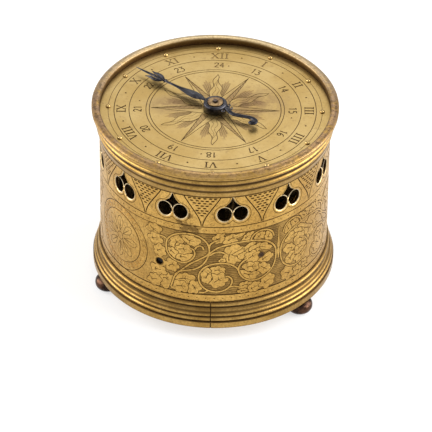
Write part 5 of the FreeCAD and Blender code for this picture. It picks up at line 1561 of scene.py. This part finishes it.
# The lines of a flame: place to the side and length as shares of the flame's own, and half width.
FLAME_LINES = ((-1.0, 1.0, 0.13), (-0.38, 0.8, 0.07), (0.38, 0.8, 0.07), (1.0, 1.0, 0.13))
HOURS = ("XII", "I", "II", "III", "IIII", "V", "VI", "VII", "VIII", "IX", "X", "XI")


@dataclass
class Dial:
    """The dial: a gilt plate engraved with twice twelve hours round a sun."""

    radius: float = 48.4
    low: float = 80.4
    top: float = 82.0
    roman_low: float = 37.7
    roman_tall: float = 3.6
    roman_spread: float = 1.38
    arabic_low: float = 30.9
    arabic_tall: float = 3.4
    arabic_pitch: float = 0.66
    arabic_gap: float = 0.05
    sides: int = 240
    bore: float = 1.5
    bore_sides: int = 32
    bore_bevel: Pair = (0.1, 0.05)
    ring_sides: int = 180
    rings: tuple[Pair, ...] = ((27.7, 0.17), (29.1, 0.15), (36.2, 0.16), (42.5, 0.17), (45.0, 0.10))
    dot_circle: float = 39.5
    dot: float = 0.42
    dot_sides: int = 12
    quarter_circle: float = 32.4
    quarter_turn: float = 8.5
    quarter_dot: float = 0.36
    sun: float = 27.0
    ray_foot: float = 5.4
    flame_half: float = 3.3
    flame_wave: float = 0.66
    flame_steps: int = 22
    flame_short: float = 1.4
    ray_half: float = 2.9
    ray_edges: Pair = (0.15, 0.12)
    ray_hatches: int = 9
    hatch_pitch: float = 2.2
    hatch_slant: float = 1.8
    hatch_halves: Pair = (0.07, 0.04)
    sun_leaf_turns: Pair = (13.0, 17.0)
    sun_hatches: tuple[float, ...] = (-0.6, -0.2, 0.2, 0.6)
    hour_shifts: tuple[float, ...] = (1.2, 0.3, 0.4, -1.0, -0.5, -0.4, 0.9, 0.3, 2.0, -2.0, -0.9, 0.4)

    def __post_init__(self) -> None:
        """Starts with a bare sheet."""
        border = [polar(self.radius, turn) for turn in even_angles(self.sides)]
        self.sheet = EngravedSheet(border, 0.0, self.top - self.low, self.lay)

    def lay(self, x: float, y: float, depth: float) -> Triple:
        """Where a point of the dial lies."""
        return x, y, self.top - depth

    def build(self) -> bpy.types.Object:
        """Builds and dresses the dial.

        Returns:
            The finished dial.
        """
        sheet = self.sheet
        sheet.pierce(oval((0.0, 0.0), self.bore, self.bore, self.bore_sides), *self.bore_bevel)
        for radius, half_width in self.rings:
            sheet.cut(Cut.LINE, *ring_patches(radius, half_width, self.ring_sides))
        for hour in range(12):
            turn = 30 * hour + self.hour_shifts[hour]
            self.roman(HOURS[hour], turn)
            self.arabic(str(24 if hour == 0 else 12 + hour), turn)
            spot = polar(self.dot_circle, 75 - 30 * hour)
            sheet.cut(Cut.LINE, oval(spot, self.dot, self.dot, self.dot_sides))
        for hour in (3, 6, 9, 0):
            spot = polar(self.quarter_circle, 90 - 30 * hour - self.quarter_turn)
            sheet.cut(Cut.LINE, oval(spot, self.quarter_dot, self.quarter_dot, self.dot_sides))
        self.sunburst()
        plate = sheet.build().to_object("dial_engraved", DIAL_GILDING.make())
        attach(plate, "case")
        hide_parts("dial_plate")
        return plate

    @staticmethod
    def figure(low: float, tall: float, turn: float) -> Placing:
        """Gives the places of a figure's points, along the circle and outward, as shares of its height."""
        place = spoke(turn)
        return lambda x, y: place(low + y * tall, x * tall)

    def roman(self, word: str, turn: float) -> None:
        """Engraves one hour in Roman figures.

        Args:
            word: The figures.
            turn: The clockwise angle at which they stand.
        """
        place = self.figure(self.roman_low, self.roman_tall, turn)
        start = -sum(ROMAN[letter][0] for letter in word) / 2
        for letter in word:
            wide, thick, thin = ROMAN[letter]
            for weight, lines in ((Stroke.THICK, thick), (Stroke.THIN, thin)):
                for line in lines:
                    laid = [place((start + x) * self.roman_spread, y) for x, y in line]
                    self.sheet.line(laid, weight.value * self.roman_tall)
            start += wide

    def arabic(self, word: str, turn: float) -> None:
        """Engraves one hour in Arabic figures.

        Args:
            word: The figures.
            turn: The clockwise angle at which they stand.
        """
        place = self.figure(self.arabic_low, self.arabic_tall, turn)
        start = -self.arabic_pitch * len(word) / 2
        for digit in word:
            for curved, line in ARABIC[digit]:
                points = smooth_line(line, 3) if curved else line
                for a, b in zip(points, points[1:]):
                    laid = [place(start + self.arabic_gap + x, y) for x, y in (a, b)]
                    self.sheet.line(laid, Stroke.PEN.value * self.arabic_tall)
            start += self.arabic_pitch

    def sunburst(self) -> None:
        """Engraves the sun: straight and wavy rays in turn, with hatched leaves between them."""
        for k in range(12):
            small = spoke(30 * k + self.sun_leaf_turns[k % 2])
            self.sheet.cut(Cut.SHADE, [small(r, s) for r, s in SUN_LEAF])
            for side in self.sun_hatches:
                line = [small(r, side * spread) for r, spread, _ in SUN_HATCH]
                self.sheet.line(line, [half for _, _, half in SUN_HATCH])
        for k in range(6):
            self.wavy_ray(spoke(60 * k), self.sun - self.ray_foot - self.flame_short)
        for k in range(6):
            self.straight_ray(spoke(30 + 60 * k), self.sun - self.ray_foot)

    def wavy_ray(self, place: Placing, reach: float) -> None:
        """Engraves a flame with two waving edges and two thin lines in it.

        Args:
            place: Gives the place of a point by its distance from the middle and to the side.
            reach: The length of the flame.
        """
        edges: list[list[Pair]] = []
        for side, share, _ in FLAME_LINES:
            line = []
            for step in range(self.flame_steps + 1):
                t = step / self.flame_steps
                wave = self.flame_wave * math.sin(t * 4.6 * math.pi + 0.4 * side) * (1 - 0.3 * t) * min(1.0, 3 * t)
                line.append(place(self.ray_foot + reach * t * share, side * self.flame_half * (1 - t) ** 0.75 + wave))
            edges.append(line)
        self.sheet.cut(Cut.LEAF, edges[3] + edges[0][::-1])
        for line, (_, _, half) in zip(edges, FLAME_LINES):
            self.sheet.line(line, half)

    def straight_ray(self, place: Placing, reach: float) -> None:
        """Engraves a pointed ray with a ridge, hatched on one side.

        Args:
            place: Gives the place of a point by its distance from the middle and to the side.
            reach: The length of the ray.
        """
        foot, half = self.ray_foot, self.ray_half
        tip = place(foot + reach, 0.0)
        self.sheet.cut(Cut.LEAF, [place(foot, half), tip, place(foot, -half)])
        self.sheet.cut(Cut.SHADE, [place(foot, 0.1), place(foot, half), place(foot + reach - 0.6, 0.05)])
        for k in range(self.ray_hatches):
            start = foot + self.hatch_pitch * k
            side = half * (1 - (start - foot) / reach)
            line = [place(start, side * 0.95), place(start + self.hatch_slant, 0.05)]
            self.sheet.line(line, self.hatch_halves)
        for side in (-half, 0.0, half):
            self.sheet.line([place(foot, side), tip], self.ray_edges)


@dataclass
class TouchPins:
    """The domed pins at the hours, by which the time can be felt in the dark."""

    count: int = 12
    circle: float = 45.0
    radius: float = 1.05
    height: float = 0.95
    collar: float = 0.22
    foot: float = 0.93
    edge_z: float = 0.12
    seat: float = 82.0
    steps: int = 8
    sides: int = 28

    def build(self) -> bpy.types.Object:
        """Builds and dresses the pins.

        Returns:
            The finished pins, as one piece.
        """
        # The foot of each pin gets tone, as painted shade where it meets the dial.
        profile = [(0.0, self.seat, 0.0), (self.radius * self.foot, self.seat, 0.7),
                   (self.radius, self.seat + self.edge_z, 0.25)]
        for k in range(1, self.steps):
            turn = math.pi / 2 * k / self.steps
            up = self.collar + (self.height - self.collar) * math.sin(turn)
            profile.append((self.radius * math.cos(turn), self.seat + up, 0.0))
        profile.append((0.0, self.seat + self.height, 0.0))
        pin = lathe(profile, even_angles(self.sides), closed=False).to_object("touch_pin", PIN_GILDING.make(), 60.0)
        pins = RingOfCopies(self.count, self.circle, 0.0).spread("touch_pins_domed", pin)
        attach(pins, "case")
        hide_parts("touch_pins")
        return pins


# Stations along the arm of the hand: distance from the hub's middle, half width, thickness, and height of the ridge.
LEAF_STATIONS = (
    (4.2, 1.25, 0.62, 0.2), (5.6, 0.95, 0.52, 0.2), (7.0, 1.25, 0.52, 0.8), (9.2, 1.95, 0.54, 1.0),
    (12.0, 2.25, 0.56, 1.0), (14.8, 1.9, 0.56, 1.0), (17.8, 1.22, 0.54, 0.8), (20.6, 0.82, 0.52, 0.4),
    (24.0, 0.68, 0.52, 0.2), (26.9, 0.72, 0.52, 0.2),
)
NEEDLE_STATIONS = (
    (28.0, 0.62, 0.46, 0.3), (29.4, 0.72, 0.52, 0.5), (31.0, 0.70, 0.56, 0.6), (33.0, 0.74, 0.56, 0.7),
    (35.0, 0.78, 0.5, 0.6), (37.6, 0.62, 0.44, 0.5), (40.4, 0.42, 0.36, 0.4), (43.2, 0.12, 0.14, 0.2),
)
# The two beads of its collar: distance and radius.
COLLAR_BEADS = ((27.0, 1.25), (27.9, 0.95))
# Middle line of a petal of its tulip: distance, place to the side, and rise.
PETAL_LINE = (
    (28.4, 0.45, 0.0), (29.4, 1.3, 0.0), (30.8, 1.95, 0.0), (32.6, 2.0, 0.05), (34.2, 1.85, 0.05), (35.6, 2.3, 0.0),
    (36.2, 2.6, -0.05),
)
# Middle line of its tail, and the small scrolls at the tail's root: place and size.
TAIL_LINE = (
    (-4.2, -0.8), (-6.2, -0.5), (-8.4, 0.4), (-10.6, 0.62), (-13.3, -0.3), (-16.4, -1.65), (-18.7, -2.0),
    (-20.4, -1.5), (-20.9, -0.2), (-20.2, 0.75), (-19.2, 0.45),
)
TAIL_SCROLLS = ((-4.6, -3.0, 0.62), (-6.6, -2.0, 0.6), (-5.4, 1.5, 0.5))
# Section of its washer above the hub's top: radius, height and tone, which paints shade on its underside and round its
# bore.
WASHER_SECTION = (
    (0.95, 0.0, 0.9), (3.15, 0.0, 0.7), (3.3, 0.1, 0.3), (3.22, 0.3, 0.0), (2.9, 0.4, 0.0), (1.5, 0.4, 0.1),
    (1.1, 0.3, 0.7), (0.95, 0.2, 1.0),
)


@dataclass
class HourHand:
    """The hour hand of blued steel: hub, leaf, collar, tulip and needle on one side, a hooked tail on the other."""

    turn: float = 143.0
    hub: float = 5.0
    hub_low: float = 82.4
    hub_top: float = 85.8
    bore: float = 1.25
    sides: int = 72
    arm_z: float = 84.5
    bead_half: float = 0.42
    bead_sides: int = 20
    petal_spreads: Pair = (1.0, -0.86)
    petal_flat: float = 0.78
    tail_flat: float = 0.66
    curl_steps: int = 10
    curl_turn: float = 0.55
    curl_reach: float = 1.25
    curl_flat: float = 0.9

    def build(self) -> list[bpy.types.Object]:
        """Builds and dresses the hand and its washer.

        Returns:
            The two finished pieces.
        """
        hand = self.shape().moved(Matrix.Rotation(math.radians(self.turn), 4, "Z"))
        made = hand.to_object("hour_hand_forged", BLUED_STEEL.make(), 42.0)
        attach(made, "hand")
        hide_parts("hour_hand")
        profile = [(r, self.hub_top + up, tone) for r, up, tone in WASHER_SECTION]
        washer = lathe(profile, even_angles(self.sides)).to_object("hand_washer_turned", WASHER_BRASS.make())
        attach(washer, "hand")
        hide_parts("hand_washer")
        return [made, washer]

    def shape(self) -> Shape:
        """Puts the hand together, pointing along X.

        Returns:
            The whole hand.
        """
        hand = Shape.empty("tone")
        for part in (self.hub_shape(), self.leaf(), self.tulip(), self.tail()):
            hand.add(part)
        return hand

    def hub_shape(self) -> Shape:
        """Turns the thick hub.

        Returns:
            The hub.
        """
        r, low, top = self.hub, self.hub_low, self.hub_top
        # The recess under the washer gets tone, as painted shade.
        profile = [(self.bore, low, 0.0), (r - 0.5, low, 0.0), (r - 0.12, low + 0.14, 0.0), (r, low + 0.5, 0.0),
                   (r, top - 0.75, 0.0), (r - 0.14, top - 0.36, 0.0), (r - 0.42, top - 0.1, 0.0), (r - 0.8, top, 0.0),
                   (3.75, top, 0.0), (3.55, top - 0.12, 0.6), (3.4, top - 0.12, 0.8), (self.bore, top - 0.12, 0.8)]
        return lathe(profile, even_angles(self.sides))

    def section(self, x: float, half: float, thick: float, ridge: float) -> list[Triple]:
        """Draws a cross section of the arm.

        Args:
            x: Its distance from the hub's middle.
            half: Its half width.
            thick: Its thickness.
            ridge: How high the ridge on its top is.

        Returns:
            The ring of its points.
        """
        slope, crest = 0.62 + 0.2 * ridge, 0.68 + 0.32 * ridge
        ring = ((1.0, 0.0), (0.72, 0.34), (0.36, slope), (0.0, crest), (-0.36, slope), (-0.72, 0.34), (-1.0, 0.0),
                (-0.7, -0.5), (0.0, -0.7), (0.7, -0.5))
        return [(x, y * half, self.arm_z + h * thick) for y, h in ring]

    def leaf(self) -> Shape:
        """The arm from the hub through the leaf to the collar."""
        return loft([self.section(*station) for station in smooth_line(LEAF_STATIONS, 4)])

    def tulip(self) -> Shape:
        """Makes the collar, the tulip with its two barbed petals, and the needle.

        Returns:
            The outer end of the hand.
        """
        z = self.arm_z
        made = Shape.empty("tone")
        lying = Matrix.Diagonal((1, 1, 0.5, 1)) @ Matrix.Rotation(math.pi / 2, 4, "Y")
        for x, reach in COLLAR_BEADS:
            bead = [(0.0, -self.bead_half, 0.0)]
            bead += [(reach * math.cos(t) ** 0.8, self.bead_half * math.sin(t), 0.0)
                     for t in (-0.9, -0.45, 0.0, 0.45, 0.9)]
            bead.append((0.0, self.bead_half, 0.0))
            turned = lathe(bead, even_angles(self.bead_sides), closed=False)
            made.add(turned.moved(Matrix.Translation((x, 0, z)) @ lying))
        made.add(loft([self.section(*station) for station in smooth_line(NEEDLE_STATIONS, 4)]))
        for spread in self.petal_spreads:
            line = smooth_line([(x, y * spread, z + up) for x, y, up in PETAL_LINE], 4)
            radii = []
            for k in range(len(line)):
                t = k / (len(line) - 1)
                swell = 0.42 + 0.44 * math.sin(math.pi * min(1.0, 1.35 * t)) * (1 - 0.4 * t)
                radii.append(swell * (1 - 0.75 * max(0.0, (t - 0.7) / 0.3)))
            made.add(tube(line, radii, 10, self.petal_flat))
        return made

    def tail(self) -> Shape:
        """Makes the S-shaped tail with its curled end, and the small scrolls at its root.

        Returns:
            The tail.
        """
        z = self.arm_z
        made = Shape.empty("tone")
        line = smooth_line([(x, y, z) for x, y in TAIL_LINE], 5)
        last = len(line) - 1
        radii = [1.06 - 0.12 * math.sin(math.pi * k / last) + 0.5 * max(0.0, k / last - 0.7) for k in range(last + 1)]
        made.add(tube(line, radii, 12, self.tail_flat))
        for x, y, size in TAIL_SCROLLS:
            reach = size * self.curl_reach
            turns = [self.curl_turn * k for k in range(self.curl_steps)]
            curl = [(x + reach * math.cos(t), y + reach * math.sin(t), z) for t in turns]
            made.add(tube(curl, [size * (0.85 - 0.05 * k) for k in range(self.curl_steps)], 10, self.curl_flat))
        return made


# Movement

@dataclass
class Movement:
    """The train, frame and bell inside the drum, whose CAD shapes stay and get their finishes."""

    brass: tuple[str, ...] = (
        "bottom_plate", "top_plate", "frame_pillars", "dial_pillars", "centre_bridge", "bell_stand",
        "going_great_wheel", "strike_great_wheel", "second_wheel", "contrate_wheel", "crown_wheel", "crown_potence",
        "verge_potence", "balance_wheel", "balance_cock", "hour_wheel", "locking_wheel", "fly", "count_wheel",
        "support_blocks",
    )

    def dress(self) -> None:
        """Gives every CAD node that stays in view its finish."""
        finishes = dict.fromkeys(self.brass, TRAIN_BRASS.make())
        finishes |= {"bell": BELL_METAL.make(), "base_plate": CASE_GILDING.make(), "case_catch": CATCH_STEEL.make(),
                     "support_rivets": RIVET_STEEL.make(), "hour_arbor": HAND_PIN_STEEL.make()}
        steel = ARBOR_STEEL.make()
        for name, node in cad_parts.items():
            if node.hide_render:
                continue
            finish = finishes.get(name, steel)
            node.data.materials.clear()
            node.data.materials.append(finish)
            LOG.info("dressed %s with %s", name, finish.name)


# Studio

@dataclass(frozen=True)
class SoftBox:
    """A square soft lamp: its place and width in metres, and its power in watts."""

    name: str
    place: Triple
    size: float
    power: float


@dataclass
class Studio:
    """A white table top, soft light from above and both sides, and a camera at the photograph's angle."""

    camera_at: Triple = (0.0, -1174.2, 916.9)
    look_at: Triple = (0.957, 0.0, 25.7)
    turn: float = 1.35
    roll: float = 0.787
    lens: float = 285.615
    lamps: tuple[SoftBox, ...] = (
        SoftBox("key", (0.05, 0.72, 0.86), 0.42, 1.2), SoftBox("side", (-0.95, 0.05, 0.45), 1.1, 17.0),
        SoftBox("fill", (0.92, 0.0, 0.45), 1.1, 22.0),
    )
    lamps_aim: Triple = (0.0, 0.0, 0.05)
    floor_half: float = 4.0
    floor_grey: float = 0.42
    glow_reach: Pair = (0.1, 0.7)
    glow_share: Pair = (0.58, 0.84)
    sky_lit: float = 0.45
    sky_seen: float = 1.0

    def build(self) -> None:
        """Builds floor, world, lamps and camera."""
        self.floor()
        self.world()
        for lamp in self.lamps:
            self.hang(lamp)
        self.camera()

    @staticmethod
    def seen(tree: bpy.types.NodeTree) -> Socket:
        """Tells the rays that show the background: from the camera, mirrored or let through.

        Args:
            tree: The node tree that needs it.

        Returns:
            The socket of a value that is 1 for such rays.
        """
        path = tree.nodes.new("ShaderNodeLightPath").outputs
        total = path["Is Camera Ray"]
        for name in ("Is Glossy Ray", "Is Transmission Ray"):
            total = put(tree, "ShaderNodeMath", 0, {0: total, 1: path[name]}, operation="MAXIMUM")
        return total

    def floor(self) -> None:
        """Lays a wide white floor that keeps a soft shadow, and is whitest away from the clock."""
        half = self.floor_half
        mesh = bpy.data.meshes.new("floor")
        mesh.from_pydata([(-half, -half, 0), (half, -half, 0), (half, half, 0), (-half, half, 0)], [], [(0, 1, 2, 3)])
        made = bpy.data.objects.new("floor", mesh)
        bpy.context.scene.collection.objects.link(made)
        material = bpy.data.materials.new("floor_white")
        material.use_nodes = True
        tree = material.node_tree
        tree.nodes.clear()
        place = put(tree, "ShaderNodeTexCoord", "Object", {})
        away = put(tree, "ShaderNodeVectorMath", "Value", {0: place}, operation="LENGTH")
        levels = zip(("From Min", "From Max", "To Min", "To Max"), (*self.glow_reach, *self.glow_share))
        rise = put(tree, "ShaderNodeMapRange", "Result", {"Value": away, **dict(levels)})
        share = put(tree, "ShaderNodeMath", 0, {0: self.seen(tree), 1: rise}, operation="MULTIPLY")
        glow = put(tree, "ShaderNodeEmission", 0, {"Strength": share})
        paint = put(tree, "ShaderNodeBsdfDiffuse", 0, {"Color": (self.floor_grey,) * 3})
        total = put(tree, "ShaderNodeAddShader", 0, {0: paint, 1: glow})
        tree.links.new(total, tree.nodes.new("ShaderNodeOutputMaterial").inputs["Surface"])
        mesh.materials.append(material)

    def world(self) -> None:
        """A white surround that lights softly."""
        world = bpy.data.worlds.new("studio")
        bpy.context.scene.world = world
        world.use_nodes = True
        tree = world.node_tree
        sky = tree.nodes["Background"]
        sky.inputs["Color"].default_value = (1, 1, 1, 1)
        levels = {"Value": self.seen(tree), "To Min": self.sky_lit, "To Max": self.sky_seen}
        tree.links.new(put(tree, "ShaderNodeMapRange", "Result", levels), sky.inputs["Strength"])

    def hang(self, lamp: SoftBox) -> None:
        """Hangs a lamp so that it shines at the clock.

        Args:
            lamp: The lamp.
        """
        data = bpy.data.lights.new(lamp.name, "AREA")
        data.size, data.energy = lamp.size, lamp.power
        made = bpy.data.objects.new(lamp.name, data)
        made.location = lamp.place
        made.rotation_euler = (Vector(self.lamps_aim) - Vector(lamp.place)).to_track_quat("-Z", "Y").to_euler()
        bpy.context.scene.collection.objects.link(made)

    def camera(self) -> None:
        """The camera, a long lens a little above the clock."""
        swing = Matrix.Rotation(math.radians(self.turn), 3, "Z")
        place = swing @ Vector(self.camera_at) * MM
        ahead = (swing @ Vector(self.look_at) * MM - place).normalized()
        right = ahead.cross(Vector((0, 0, 1))).normalized()
        up = right.cross(ahead)
        c, s = math.cos(math.radians(self.roll)), math.sin(math.radians(self.roll))
        axes = Matrix((c * right + s * up, c * up - s * right, -ahead)).transposed()
        data = bpy.data.cameras.new("camera")
        data.lens = self.lens
        made = bpy.data.objects.new("camera", data)
        made.matrix_world = Matrix.Translation(place) @ axes.to_4x4()
        bpy.context.scene.collection.objects.link(made)
        bpy.context.scene.camera = made


def report(piece: bpy.types.Object) -> None:
    """Logs a finished piece with its size."""
    LOG.info("%s: %d faces", piece.name, len(piece.data.polygons))


def main() -> None:
    """Builds the clock's pieces in order, then the studio round it."""
    logging.basicConfig(level=logging.INFO, format="%(name)s: %(message)s")
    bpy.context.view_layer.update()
    bpy.context.scene.view_settings.view_transform = "Standard"
    top = Moulding("top_moulding_turned", "top_moulding", TOP_PROFILE, TOP_GRIME_AND_SHADE, low=72.3, height=12.9,
                   inner=TOP_INSIDE, worn_above=83.7)
    base = Moulding("base_moulding_turned", "base_moulding", BASE_PROFILE, BASE_GRIME_AND_SHADE, low=5.5, height=12.0,
                    inner=BASE_INSIDE, seam_turn=270.4)
    for maker in (DrumWall(), top, base, BunFeet(), Dial(), TouchPins()):
        report(maker.build())
    for piece in HourHand().build():
        report(piece)
    Movement().dress()
    Studio().build()


if __name__ == "__main__":
    main()
